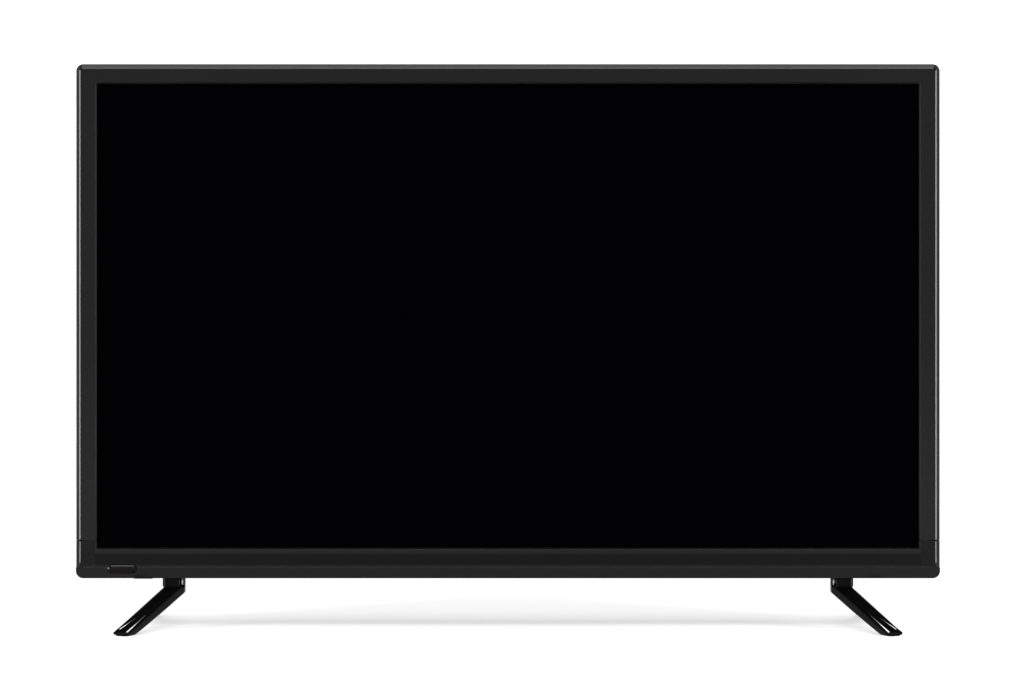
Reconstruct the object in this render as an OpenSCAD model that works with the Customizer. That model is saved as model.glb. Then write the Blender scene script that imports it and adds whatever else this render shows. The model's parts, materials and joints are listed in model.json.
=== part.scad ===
// Flat screen television on two feet, 32-inch class.
// Millimetres. +X is to the right seen from the front, the screen faces -Y, +Z is up.
// The origin is on the table, midway between the toes.
// Depths named _d are measured backwards from the surround's front crest.

/* [Screen] */
// Width of the opening in the surround
screen_w = 700; // [600:1:900]
// Height of the opening in the surround
screen_h = 395; // [340:1:520]
// How far the glass reaches under the surround on each side
glass_margin = 4; // [3:0.1:4.5]
// Thickness of the liquid crystal panel
glass_t = 1.4; // [1:0.1:2.5]
// Depth of the glass behind the surround's crest
glass_setback = 6; // [5:0.1:9]

/* [Surround] */
// Width of the two side bars
side_bar = 17.8; // [15.5:0.1:30]
// Height of the top bar
top_bar = 17; // [15.5:0.1:30]
// Height of the bottom bar
bottom_bar_h = 26; // [25:0.1:40]
// Depth of the surround's outer wall
surround_depth = 10; // [9.8:0.1:13]
// Wall of the mouldings
wall = 2.5; // [2:0.1:3]
// Radius of the outer corners
corner_r = 6; // [5:0.1:10]
// Width of the sloped outer rim
rim_w = 3.5; // [2:0.1:4]
// Depth of the sloped outer rim
rim_drop = 3; // [1.5:0.1:4]
// Width of the flat crest inside the rim
crest_w = 1; // [0.9:0.1:2]
// How far the face falls from the crest to the inner bevel
face_drop = 1.2; // [0.6:0.1:1.8]
// Width of the bevel beside the glass
lip_w = 1.6; // [1:0.1:2.4]
// Depth of the bevel beside the glass
lip_drop = 1.8; // [1:0.1:2]
// Thickness of the face behind its lowest part
face_t = 3; // [2:0.1:3.4]
// Height of the side seams above the opening
seam_rise = 6.5; // [3:0.1:20]
// Gap at the side seams
seam_gap = 0.2; // [0.1:0.05:0.5]
// Distance from the opening down to the chin's ridge
ridge_down = 16.6; // [14:0.1:18]
// Height of the slope that climbs to the chin's ridge
ridge_rise = 1.6; // [1:0.1:3]
// How far the chin leans back from the ridge to the bottom edge
chin_lean = 2.4; // [1:0.1:3.5]
// Height of the slope under the bottom bar's lip
lip_slope_h = 5; // [3:0.1:7]
// How far the bottom bar's lip stands above the sunk band
lip_proud = 0.7; // [0.3:0.1:1]

/* [Infrared window and power key] */
// Length of the infrared window
window_w = 25; // [18:0.5:30]
// Height of the infrared window
window_h = 6.8; // [5:0.1:8]
// Distance from the body's side to the window's middle
window_inset = 39.3; // [36:0.1:50]
// Distance from the opening down to the window's middle
window_down = 18; // [16.5:0.1:19]
// Length of the power key
power_key_w = 16; // [10:0.5:20]
// Depth of the power key
power_key_depth = 4; // [3:0.1:4.2]
// Distance from the body's side to the power key's middle
power_key_inset = 56.8; // [55:0.1:60]
// How far the power key stands below the body
power_key_proud = 0.7; // [0.4:0.1:1.5]

/* [Panel stack] */
// How far the panel module reaches past the opening on each side
module_margin = 6; // [5.5:0.1:7]
// Thickness of the mid frame's shelf
shelf_t = 2; // [1.5:0.1:3]
// Wall of the mid frame's skirt
skirt_t = 2; // [1.5:0.1:2.5]
// Length of the mid frame's skirt behind its shelf
skirt_len = 8; // [6:0.5:12]
// Thickness of each optical film
film_t = 0.3; // [0.2:0.05:0.5]
// Thickness of the diffuser plate
plate_t = 1.5; // [1:0.1:2.5]
// Thickness of the white reflector sheet
sheet_t = 0.8; // [0.5:0.1:1.5]
// Free depth between the diffuser plate and the reflector's floor
backlight_gap = 19.7; // [15:0.1:30]
// Thickness of the light bars
bar_t = 1; // [0.8:0.1:2]
// Height of each light bar
bar_h = 15; // [12:0.5:20]
// Number of light bars
bar_count = 3; // [2:1:4]
// Number of lenses on each light bar
lens_count = 7; // [5:1:9]
// Radius of the light bar lenses
lens_r = 6.5; // [5:0.1:7]
// Sheet steel of the back pan
pan_t = 1; // [0.8:0.1:1.5]
// Width of the back pan's flange
pan_flange = 10; // [8:0.5:14]
// How far each side of the back pan slopes in
pan_taper = 12; // [8:0.5:20]

/* [Rear cover] */
// Space between the back pan and the rear cover
cover_gap = 3.5; // [3:0.1:6]
// Depth of the sloped edge round the rear cover
slope_run = 10; // [8:0.5:12]
// How far that sloped edge leans in
slope_inset = 12; // [8:0.5:14]
// Width of the rear bulge
bulge_w = 524; // [500:1:560]
// Height of the rear bulge
bulge_h = 240; // [235:1:270]
// Height of the bulge's lower side above the body's lower side
bulge_lift = 24; // [20:1:40]
// Radius of the bulge's corners
bulge_r = 12; // [12:0.5:20]
// Bevel round the bulge's back
bulge_bevel = 8; // [4:0.5:9]
// Width of the ventilation slots
vent_w = 3; // [2:0.1:3.5]
// Length of the ventilation slots
vent_len = 26; // [15:1:30]
// Number of ventilation slots in each row
vent_count = 28; // [10:1:34]
// Distance between ventilation slots
vent_pitch = 8; // [6:0.5:9]

/* [Boards] */
// Thickness of the circuit boards
board_t = 1.6; // [1.2:0.1:2]
// Height of the posts between the back pan and the boards
post_h = 10; // [8:0.5:14]
// Radius of those posts
post_r = 3.5; // [3:0.1:4.5]
// Room for components between the boards and the bulge's back
component_room = 34; // [32:0.5:50]
// Width of the main board
main_w = 140; // [130:1:148]
// Height of both large boards
board_h = 150; // [146:1:158]
// Width of the power board
power_w = 130; // [120:1:140]
// Height of the boards' lower edge above the body's lower side
board_lift = 80; // [76:1:90]

/* [Speakers] */
// Length of each speaker box
speaker_w = 120; // [90:1:140]
// Height of each speaker box
speaker_h = 40; // [36:0.5:44]
// Depth of each speaker box
speaker_depth = 31; // [28:0.5:34]
// Wall of the speaker boxes
speaker_wall = 2; // [1.5:0.1:2.5]
// Radius of the speaker cones
cone_r = 10; // [8:0.1:11]
// Stroke of the cones each way
cone_stroke = 1; // [0.5:0.1:1.5]

/* [Side keys] */
// Length of each key
key_len = 10; // [6:0.1:11]
// Width of each key
key_wide = 6; // [4:0.1:8]
// Distance between keys
key_pitch = 14; // [13:0.5:16]
// How far the keys stand out of the rear cover
key_proud = 1.2; // [0.9:0.1:2]
// Travel of all keys
key_stroke = 0.6; // [0.3:0.1:0.7]

/* [Feet] */
// Height of the body's lower side above the table
foot_lift = 43; // [36:0.5:60]
// Distance from the feet's middle to the tip of a toe, forwards and backwards
foot_reach = 95; // [80:1:130]
// Distance of the surround's crest ahead of the feet's middle
front_ahead = 32; // [26:0.5:45]
// Distance from the body's side to the middle of a foot's neck
foot_inset = 81.8; // [76:0.1:100]
// Width of a foot's neck
neck_w = 18.4; // [17:0.1:24]
// Depth of a foot's neck
neck_depth = 17; // [16:0.1:17.5]
// Height of a foot's neck above its arms
neck_h = 8.2; // [6:0.1:10]
// How far the arms' inner side stands outwards from the neck's
arm_shift = 4.5; // [3:0.1:5]
// Width of the arms and toes
arm_w = 12.4; // [10:0.1:13]
// How far the toe stands outwards from the neck
toe_out = 33.9; // [20:0.1:50]
// Length of the flat sole
toe_len = 12; // [10:0.5:16]
// Height of the toe's tip
toe_h = 2.8; // [2.5:0.1:5]
// Bevel under the toe's outer edge
toe_bevel = 3; // [2:0.1:4]
// How far the rubber pads stand out of the toes
pad_proud = 0.5; // [0.3:0.1:1]

/* [Wall mount and fasteners] */
// Wall mount hole spacing across
vesa_w = 200; // [100:100:200]
// Wall mount hole spacing up
vesa_h = 100; // [100:50:100]
// Height of the wall mount's middle above the bulge's middle
vesa_lift = 41; // [36:1:46]
// Radius of the wall mount threads
vesa_thread_r = 2; // [2:0.5:3]
// Radius of the small screws
screw_r = 1.25; // [1:0.05:1.5]
// Radius of the foot screws
foot_screw_r = 2; // [1.5:0.1:2.2]

/* [Hidden] */
$fn = 64;

// Clearances
fit = 0.2;
key_fit = 0.3;
hole_fit = 0.3;
thread_fit = 0.05;
over = 1;

// Body outline
tv_w = screen_w + 2 * side_bar;
tv_h = screen_h + top_bar + bottom_bar_h;
side_x = tv_w / 2;
body_z = foot_lift;
top_z = body_z + tv_h;
open_x = screen_w / 2;
open_z = body_z + bottom_bar_h;
open_top = open_z + screen_h;
mid_z = open_z + screen_h / 2;
front_y = -front_ahead;
seam_z = open_z + seam_rise;
ridge_z = open_z - ridge_down;
face_back = face_drop + face_t;

// Depths through the panel stack, front to back
glass_d = glass_setback;
shelf_d = glass_d + glass_t;
prism_d = shelf_d + shelf_t;
diffuser_d = prism_d + film_t;
plate_d = diffuser_d + film_t;
sheet_d = plate_d + plate_t;
pan_d = sheet_d + sheet_t;
sheet_floor_d = sheet_d + backlight_gap;
bar_d = sheet_floor_d + sheet_t;
pan_floor_d = bar_d + bar_t;
pan_back_d = pan_floor_d + pan_t;
cover_in_d = pan_back_d + cover_gap;
cover_back_d = cover_in_d + wall;
board_d = pan_back_d + post_h;
board_back_d = board_d + board_t;
bulge_in_d = board_back_d + component_room;
bulge_back_d = bulge_in_d + wall;

// Half sizes of the panel stack
glass_x = open_x + glass_margin;
glass_z = screen_h / 2 + glass_margin;
module_x = open_x + module_margin;
module_z = screen_h / 2 + module_margin;
film_x = module_x - fit;
film_z = module_z - fit;
skirt_in_x = module_x + fit;
skirt_in_z = module_z + fit;
skirt_x = skirt_in_x + skirt_t;
skirt_z = skirt_in_z + skirt_t;
pan_x = module_x - pan_flange;
pan_z = module_z - pan_flange;
floor_x = pan_x - pan_taper;
floor_z = pan_z - pan_taper;
sheet_gap = 0.6;
sheet_x = pan_x - pan_t - sheet_gap;
sheet_z = pan_z - pan_t - sheet_gap;
sheet_floor_x = floor_x - pan_t - sheet_gap;
sheet_floor_z = floor_z - pan_t - sheet_gap;

// Screws that hold the panel module in the surround
boss_r = 2.2;
ear_len = 8;
small_head_r = 2.2;
small_head_h = 1.5;
boss_x = (skirt_x + side_x - wall) / 2;
boss_top_z = (mid_z + skirt_z + top_z - wall) / 2;
boss_low_z = mid_z - skirt_z - boss_r - hole_fit;
low_boss_inset = 75;
low_boss_x = open_x - low_boss_inset;
side_bosses = [for (side = [-1, 1], share = [-1, 1]) [side * boss_x, mid_z + share * screen_h / 3]];
top_bosses = [for (share = [-1, 0, 1]) [share * screen_w / 3, boss_top_z]];
low_bosses = [for (side = [-1, 1]) [side * low_boss_x, boss_low_z]];

// Source driver board in the chin and the tapes that join it to the glass
source_w = 400;
source_t = 1.2;
source_gap = 2;
source_z = body_z + wall + source_gap;
source_h = 11;
source_screw_rise = 3;
source_screw_z = source_z + source_screw_rise;
source_screw_x = 170;
source_bosses = [for (share = [-1, 0, 1]) [share * source_screw_x, source_screw_z]];
tape_t = 0.3;
tape_w = 28;
tape_count = 4;
tape_pitch = 85;
tape_land = 5;
tape_top_z = open_z - wall - fit;

// Light bars and lenses
bar_pitch = 2 * floor_z / bar_count;
bar_x = sheet_floor_x - bar_h;
lens_pitch = 2 * bar_x / lens_count;
lens_h = 5;
lens_hole_r = lens_r + 2;
spread_post_r = 5;
spread_post_tip_r = 1.2;
bar_zs = [for (i = [0:bar_count - 1]) mid_z + (i - (bar_count - 1) / 2) * bar_pitch];

// Rear bulge
bulge_x = bulge_w / 2;
bulge_z = body_z + bulge_lift;
bulge_top_z = bulge_z + bulge_h;
bulge_in_x = bulge_x - wall;
bulge_in_z = bulge_z + wall;
slope_d = cover_back_d - slope_run;

// Boards on the back pan
board_edge = 7;
board_z = body_z + board_lift;
board_top_z = board_z + board_h;
main_x0 = -bulge_x + board_edge;
main_x1 = main_x0 + main_w;
power_x1 = bulge_x - board_edge;
power_x0 = power_x1 - power_w;
post_inset = 6;
board_hole_r = screw_r + hole_fit;
board_head_r = 2.8;
board_head_h = 1.8;
main_posts = corners(main_x0 + post_inset, main_x1 - post_inset,
                     board_z + post_inset, board_top_z - post_inset);
power_posts = corners(power_x0 + post_inset, power_x1 - post_inset,
                      board_z + post_inset, board_top_z - post_inset);
board_posts = concat(main_posts, power_posts);

// Screws of the rear cover
cover_boss_r = 4;
cover_head_r = 3;
cover_head_h = 1.5;
cover_edge = 32;
cover_low_rise = 84;
cover_mid_rise = 230;
cover_boss_x = floor_x - cover_edge;
cover_top_z = mid_z + floor_z - cover_edge;
cover_bosses = concat(
    [for (share = [-1, -1 / 3, 1 / 3, 1]) [share * cover_boss_x, cover_top_z]],
    [for (side = [-1, 1], rise = [cover_low_rise, cover_mid_rise]) [side * cover_boss_x, body_z + rise]]);

// Wall mount pillars
vesa_r = 5;
vesa_sunk = 1;
vesa_depth = 14;
vesa_z = (bulge_z + bulge_top_z) / 2 + vesa_lift;
vesa_points = corners(-vesa_w / 2, vesa_w / 2, vesa_z - vesa_h / 2, vesa_z + vesa_h / 2);

function corners(x0, x1, z0, z1) = [for (x = [x0, x1], z = [z0, z1]) [x, z]];

// A block between two corners, with depths counted from the surround's crest
module block(x0, x1, d0, d1, z0, z1) {
    translate([x0, front_y + d0, z0])
        cube([x1 - x0, d1 - d0, z1 - z0]);
}

// A block centred on the middle of the screen
module slab(half_x, half_z, d0, d1) {
    block(-half_x, half_x, d0, d1, mid_z - half_z, mid_z + half_z);
}

// A round bar along the depth
module rod_y(x, z, r, d0, d1, r1 = undef) {
    translate([x, front_y + d0, z])
        rotate([-90, 0, 0])
            cylinder(h = d1 - d0, r1 = r, r2 = is_undef(r1) ? r : r1);
}

// A round bar across
module rod_x(d, z, r, x0, x1) {
    translate([x0, front_y + d, z])
        rotate([0, 90, 0])
            cylinder(h = x1 - x0, r = r);
}

// An upright round bar
module rod_z(x, d, r, z0, z1) {
    translate([x, front_y + d, z0])
        cylinder(h = z1 - z0, r = r);
}

// An outline of [x, depth] points carried upwards
module prism_z(points, z0, z1) {
    translate([0, front_y, z0])
        linear_extrude(height = z1 - z0)
            polygon(points);
}

// An outline of [depth, z] points carried across
module prism_x(points, x0, x1) {
    translate([x0, front_y, 0])
        rotate([90, 0, 90])
            linear_extrude(height = x1 - x0)
                polygon(points);
}

// A slab with round corners, from its half width and its lower and upper sides
module round_slab(half_x, z0, z1, r, d0, d1) {
    block(-half_x, half_x, d0, d1, z0 + r, z1 - r);
    block(-half_x + r, half_x - r, d0, d1, z0, z1);
    for (side = [-1, 1], z = [z0 + r, z1 - r])
        rod_y(side * (half_x - r), z, r, d0, d1);
}

function taper_points(c, h0, h1, d0, d1, lead) = lead > 0
    ? [[c - h0, d0 - lead], [c - h0, d0], [c - h1, d1], [c + h1, d1], [c + h0, d0], [c + h0, d0 - lead]]
    : [[c - h0, d0], [c - h1, d1], [c + h1, d1], [c + h0, d0]];

function swapped(points) = [for (p = points) [p[1], p[0]]];

// A flat pyramid whose sides close in from depth d0 to d1, with an upright lead ahead of d0
module frustum(c_z, x0, z0, x1, z1, d0, d1, lead = 0) {
    far = max(x0, x1, z0, z1) + over;
    intersection() {
        prism_z(taper_points(0, x0, x1, d0, d1, lead), c_z - far, c_z + far);
        prism_x(swapped(taper_points(c_z, z0, z1, d0, d1, lead)), -far, far);
    }
}

// A flat capsule standing upright, seen from the front
module capsule(x, z, w, h, d0, d1) {
    r = h / 2;
    block(x - w / 2 + r, x + w / 2 - r, d0, d1, z - r, z + r);
    for (side = [-1, 1])
        rod_y(x + side * (w / 2 - r), z, r, d0, d1);
}

// The surround

// Outer shape: a sloped rim round the sides and top, and a plain chin below the ridge
module surround_slab() {
    corner_x = side_x - corner_r;
    corner_z = top_z - corner_r;
    prism_z([[-side_x, surround_depth], [-side_x, rim_drop], [-side_x + rim_w, 0],
             [side_x - rim_w, 0], [side_x, rim_drop], [side_x, surround_depth]], ridge_z, corner_z);
    prism_x([[surround_depth, ridge_z], [0, ridge_z], [0, top_z - rim_w],
             [rim_drop, top_z], [surround_depth, top_z]], -corner_x, corner_x);
    block(-side_x, side_x, 0, surround_depth, body_z + corner_r, ridge_z);
    block(-corner_x, corner_x, 0, surround_depth, body_z, ridge_z);
    for (side = [-1, 1]) {
        rod_y(side * corner_x, corner_z, corner_r - rim_w, 0, rim_drop, corner_r);
        rod_y(side * corner_x, corner_z, corner_r, rim_drop, surround_depth);
        rod_y(side * corner_x, body_z + corner_r, corner_r, 0, surround_depth);
    }
}

// The falling face inside the crest, down to the slope that climbs to the chin's ridge
module face_recess() {
    crest_x = side_x - rim_w - crest_w;
    crest_z = top_z - rim_w - crest_w;
    inner_x = open_x + lip_w;
    inner_z = open_top + lip_w;
    intersection() {
        prism_z(taper_points(0, crest_x, inner_x, 0, face_drop, over), body_z, top_z);
        prism_x([[-over, ridge_z], [0, ridge_z], [face_drop, ridge_z + ridge_rise],
                 [face_drop, inner_z], [0, crest_z], [-over, crest_z]], -side_x, side_x);
    }
}

// The chin leans back below its ridge
module chin_slope() {
    prism_x([[-over, ridge_z], [0, ridge_z], [chin_lean, body_z], [chin_lean, body_z - over],
             [-over, body_z - over]], -side_x - over, side_x + over);
}

// The raised lip along the bottom bar's upper edge
module bottom_lip() {
    lip_d = face_drop - lip_proud;
    prism_x([[face_back, open_z - lip_slope_h], [face_drop, open_z - lip_slope_h], [lip_d, open_z - lip_w],
             [lip_d, open_z], [face_back, open_z]], -open_x - lip_w, open_x + lip_w);
}

// The bevel beside the glass
module lip_bevel() {
    bevel_d = face_drop + lip_drop;
    lip_d = face_drop - lip_proud;
    intersection() {
        prism_z(taper_points(0, open_x + lip_w, open_x, face_drop, bevel_d, face_drop + over), body_z, top_z);
        prism_x([[-over, open_z - lip_w], [lip_d, open_z - lip_w], [bevel_d, open_z], [bevel_d, open_top],
                 [face_drop, open_top + lip_w], [-over, open_top + lip_w]], -side_x, side_x);
    }
}

module surround() {
    difference() {
        union() {
            difference() {
                surround_slab();
                face_recess();
                chin_slope();
            }
            bottom_lip();
        }
        lip_bevel();
        block(-open_x, open_x, -over, surround_depth, open_z, open_top);
        difference() {
            round_slab(side_x - wall, body_z + wall, top_z - wall, corner_r - wall,
                       face_back, surround_depth + over);
            slab(open_x + wall, screen_h / 2 + wall, face_back - over, glass_d);
        }
    }
}

module bosses(points, r, d0, d1) {
    for (p = points)
        rod_y(p[0], p[1], r, d0, d1);
}

// Upside-down U: top bar and side bars, ABS
module front_frame() {
    points = concat(side_bosses, top_bosses);
    color("#262626")
        difference() {
            union() {
                difference() {
                    surround();
                    block(-side_x - over, side_x + over, -over, surround_depth + over,
                          body_z - over, seam_z + seam_gap / 2);
                }
                bosses(points, boss_r, face_back, shelf_d);
            }
            bosses(points, screw_r + thread_fit, face_back, shelf_d + over);
        }
}

// Infrared window, its board and the power key
window_x = -side_x + window_inset;
window_z = open_z - window_down;
window_flange = 1;
power_key_x = -side_x + power_key_inset;
power_key_lead = 0.8;
power_flange = 0.5;
power_key_d0 = face_back + power_key_lead;
power_key_d1 = power_key_d0 + power_key_depth;
key_gap = 0.15;
flange_t = 1;
power_key_top_z = body_z + wall + key_gap + flange_t;
switch_w = 6;
switch_h = 3.5;
plunger_r = 1;
plunger_h = 0.8;
plunger_gap = key_stroke + key_gap;
sensor_w = 6;
sensor_depth = 4;
ir_board_gap = 6.3;
ir_board_d = face_back + ir_board_gap;
ir_board_rise = 2.5;
ir_board_z = body_z + wall + ir_board_rise;
ir_board_h = 10;
ir_edge = 7.5;
ir_hole_edge = 3.2;
ir_x0 = window_x - window_w / 2 - ir_edge;
ir_x1 = power_key_x + power_key_w / 2 + ir_edge;
ir_bosses = [for (x = [ir_x0 + ir_hole_edge, ir_x1 - ir_hole_edge]) [x, ir_board_z + ir_board_h / 2]];

// Bottom bar with its upturned ends, ABS
module bottom_bar() {
    color("#242424")
        difference() {
            union() {
                difference() {
                    surround();
                    block(-side_x - over, side_x + over, -over, surround_depth + over,
                          seam_z - seam_gap / 2, top_z + over);
                }
                bosses(low_bosses, boss_r, face_back, shelf_d);
                bosses(source_bosses, boss_r, face_back, glass_d);
                bosses(ir_bosses, boss_r, face_back, ir_board_d);
            }
            bosses(low_bosses, screw_r + thread_fit, face_back, shelf_d + over);
            bosses(source_bosses, screw_r + thread_fit, face_back, glass_d + over);
            bosses(ir_bosses, screw_r + thread_fit, face_back, ir_board_d + over);
            capsule(window_x, window_z, window_w + 2 * fit, window_h + 2 * fit, -over, face_back + over);
            block(power_key_x - power_key_w / 2 - key_fit, power_key_x + power_key_w / 2 + key_fit,
                  power_key_d0 - key_fit, power_key_d1 + key_fit, body_z - over, body_z + wall + over);
        }
}

// Clear red-black lens in front of the infrared sensor, snapped in from behind
module ir_window() {
    color("#1a0d10") {
        capsule(window_x, window_z, window_w, window_h, 0, face_back);
        capsule(window_x, window_z, window_w + 2 * window_flange, window_h,
                face_back, face_back + window_flange);
    }
}

// Key under the bottom bar, pressed upwards
module power_key() {
    x0 = power_key_x - power_key_w / 2;
    x1 = power_key_x + power_key_w / 2;
    flange_z = body_z + wall + key_gap;
    color("#202020") {
        block(x0, x1, power_key_d0, power_key_d1, body_z - power_key_proud, flange_z);
        block(x0 - flange_t, x1 + flange_t, power_key_d0 - power_flange, power_key_d1 + power_flange,
              flange_z, power_key_top_z);
    }
}

module ir_board() {
    color("#1f5c33")
        difference() {
            block(ir_x0, ir_x1, ir_board_d, ir_board_d + source_t, ir_board_z, ir_board_z + ir_board_h);
            bosses(ir_bosses, board_hole_r, ir_board_d - over, ir_board_d + source_t + over);
        }
}

module ir_sensor() {
    color("#111111")
        block(window_x - sensor_w / 2, window_x + sensor_w / 2, ir_board_d - sensor_depth, ir_board_d,
              window_z - sensor_w / 2 + fit, window_z + sensor_w / 2 + fit);
}

// The panel stack

// Carries the glass in front and the films behind, and is screwed to the surround by ears
module mid_frame() {
    back_d = prism_d + skirt_len;
    points = concat(side_bosses, top_bosses, low_bosses);
    color("#303030")
        difference() {
            union() {
                slab(skirt_x, skirt_z, glass_d, back_d);
                for (p = side_bosses)
                    block(min(sign(p[0]) * module_x, p[0] - boss_r),
                          max(sign(p[0]) * module_x, p[0] + boss_r),
                          shelf_d, prism_d, p[1] - ear_len / 2, p[1] + ear_len / 2);
                for (p = top_bosses)
                    block(p[0] - ear_len / 2, p[0] + ear_len / 2, shelf_d, prism_d,
                          mid_z + module_z, p[1] + boss_r);
                for (p = low_bosses)
                    block(p[0] - ear_len / 2, p[0] + ear_len / 2, shelf_d, prism_d,
                          p[1] - boss_r, mid_z - module_z);
            }
            slab(glass_x + fit, glass_z + fit, glass_d - over, shelf_d);
            slab(open_x, screen_h / 2, glass_d - over, prism_d + over);
            slab(skirt_in_x, skirt_in_z, prism_d, back_d + over);
            bosses(points, board_hole_r, shelf_d - over, prism_d + over);
        }
}

module lcd_panel() {
    color("#060607")
        slab(glass_x, glass_z, glass_d, shelf_d);
}

module prism_film() {
    color("#d8dadc")
        slab(film_x, film_z, prism_d, diffuser_d);
}

module diffuser_film() {
    color("#ececec")
        slab(film_x, film_z, diffuser_d, plate_d);
}

module diffuser_plate() {
    color("#f4f4f2")
        slab(film_x, film_z, plate_d, sheet_d);
}

// White formed sheet with a hole round each lens
module reflector_sheet() {
    color("white")
        difference() {
            union() {
                slab(module_x, module_z, sheet_d, pan_d);
                frustum(mid_z, sheet_x, sheet_z, sheet_floor_x, sheet_floor_z, sheet_d, bar_d);
            }
            frustum(mid_z, sheet_x - sheet_t, sheet_z - sheet_t,
                    sheet_floor_x - sheet_t, sheet_floor_z - sheet_t,
                    sheet_d, sheet_floor_d, over);
            bosses(lens_points(), lens_hole_r, sheet_floor_d - over, bar_d + over);
        }
}

function lens_points() = [for (z = bar_zs, i = [0:lens_count - 1])
    [(i - (lens_count - 1) / 2) * lens_pitch, z]];

module led_bars() {
    color("#c9ccd0")
        for (z = bar_zs)
            block(-bar_x, bar_x, bar_d, pan_floor_d, z - bar_h / 2, z + bar_h / 2);
}

module led_lenses() {
    base_d = bar_d - lens_h / 2;
    tip_r = lens_r / 2;
    color("#e8f0f4")
        for (p = lens_points()) {
            rod_y(p[0], p[1], lens_r, base_d, bar_d);
            rod_y(p[0], p[1], tip_r, bar_d - lens_h, base_d, lens_r);
        }
}

// Pointed plastic posts that keep the diffuser plate off the lenses
module diffuser_posts() {
    color("#f2f2ee")
        for (i = [1:bar_count - 1], share = [-1, 0, 1])
            rod_y(share * screen_w / 4, (bar_zs[i - 1] + bar_zs[i]) / 2, spread_post_tip_r,
                  sheet_d, sheet_floor_d, spread_post_r);
}

// Pressed steel tray that carries the light bars, boards, wall mount pillars and foot brackets
module back_pan() {
    color("#9a9da1")
        difference() {
            union() {
                slab(module_x, module_z, pan_d, pan_d + pan_t);
                frustum(mid_z, pan_x, pan_z, floor_x, floor_z, pan_d, pan_back_d);
                bosses(board_posts, post_r, pan_back_d, board_d);
                bosses(cover_bosses, cover_boss_r, pan_back_d, cover_in_d);
            }
            frustum(mid_z, pan_x - pan_t, pan_z - pan_t, floor_x - pan_t, floor_z - pan_t,
                    pan_d, pan_floor_d, over);
            bosses(board_posts, screw_r + thread_fit, pan_back_d, board_d + over);
            bosses(cover_bosses, screw_r + thread_fit, pan_back_d, cover_in_d + over);
            bosses(bracket_screws, screw_r + thread_fit, pan_floor_d - over, pan_back_d + over);
        }
}

module source_board() {
    color("#1f5c33")
        difference() {
            block(-source_w / 2, source_w / 2, glass_d, glass_d + source_t, source_z, source_z + source_h);
            bosses(source_bosses, board_hole_r, glass_d - over, glass_d + source_t + over);
        }
}

// Flexible tapes bonded to the glass at the top and to the source board below
module cof_tapes() {
    color("#a8762a")
        for (i = [0:tape_count - 1]) {
            x = (i - (tape_count - 1) / 2) * tape_pitch;
            block(x - tape_w / 2, x + tape_w / 2, glass_d - tape_t, glass_d,
                  source_z + source_h - tape_land, tape_top_z);
        }
}

// Flat cable from the source board, under the back pan and up to the main board
lvds_w = 20;
lvds_t = 0.5;
lvds_inset = 35;
lvds_clear = 0.6;
lvds_rise = 12;
plug_h = 5;
plug_t = 3;

module lvds_cable() {
    x0 = main_x1 - lvds_inset - lvds_w / 2;
    x1 = x0 + lvds_w;
    low_z = source_z + source_h - lvds_t;
    up_d = pan_back_d + lvds_clear;
    end_z = board_z + lvds_rise;
    color("#d9d4c4") {
        block(x0, x1, glass_d + source_t, up_d + lvds_t, low_z, low_z + lvds_t);
        block(x0, x1, up_d, up_d + lvds_t, low_z, end_z);
        block(x0, x1, up_d, board_d, end_z, end_z + lvds_t);
        block(x0, x1, board_d - plug_t, board_d, end_z, end_z + plug_h);
    }
}

// Screws that hold the panel module and the source board, driven from behind
module frame_screws() {
    points = concat(side_bosses, top_bosses, low_bosses);
    color("#b8bbc0") {
        bosses(points, screw_r, face_back, prism_d);
        bosses(points, small_head_r, prism_d, prism_d + small_head_h);
        bosses(source_bosses, screw_r, face_back, glass_d + source_t);
        bosses(source_bosses, small_head_r, glass_d + source_t, glass_d + source_t + small_head_h);
    }
}

// The boards and their components

socket_x = -bulge_x;
antenna_rise = 14;
av_rises = [34, 46, 58];
hdmi_rises = [76, 97];
usb_rise = 117;
headphone_rise = 134;

module drilled_board(x0, x1, posts) {
    difference() {
        block(x0, x1, board_d, board_back_d, board_z, board_top_z);
        bosses(posts, board_hole_r, board_d - over, board_back_d + over);
    }
}

chip_w = 22;
chip_t = 1.5;
chip_x = main_x0 + main_w / 2;
chip_z = board_z + board_h / 2;

module main_board() {
    color("#1f5c33") {
        drilled_board(main_x0, main_x1, main_posts);
        block(chip_x - chip_w / 2, chip_x + chip_w / 2, board_back_d, board_back_d + chip_t,
              chip_z - chip_w / 2, chip_z + chip_w / 2);
    }
}

// Finned aluminium block stuck on the main chip
sink_w = 40;
sink_base = 3;
fin_count = 8;
fin_t = 1.5;
fin_h = 12;

module chip_heatsink() {
    d0 = board_back_d + chip_t;
    fin_pitch = (sink_w - fin_t) / (fin_count - 1);
    color("#b4b7ba") {
        block(chip_x - sink_w / 2, chip_x + sink_w / 2, d0, d0 + sink_base,
              chip_z - sink_w / 2, chip_z + sink_w / 2);
        for (i = [0:fin_count - 1])
            block(chip_x - sink_w / 2 + i * fin_pitch, chip_x - sink_w / 2 + i * fin_pitch + fin_t,
                  d0 + sink_base, d0 + sink_base + fin_h, chip_z - sink_w / 2, chip_z + sink_w / 2);
    }
}

// Screened tuner with its aerial socket
can_inset = 12;
can_w = 40;
can_h = 25;
can_depth = 13;
antenna_r = 5.6;
antenna_bore_r = 4.8;
antenna_out = 9;
antenna_bore_len = 10;
antenna_contact_r = 1.2;
antenna_contact_len = 8;
antenna_d = board_back_d + can_depth / 2;
can_x = main_x0 + can_inset;

module tuner_can() {
    z = board_z + antenna_rise;
    color("#c4c7ca")
        block(can_x, can_x + can_w, board_back_d, board_back_d + can_depth, z - can_h / 2, z + can_h / 2);
}

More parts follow.
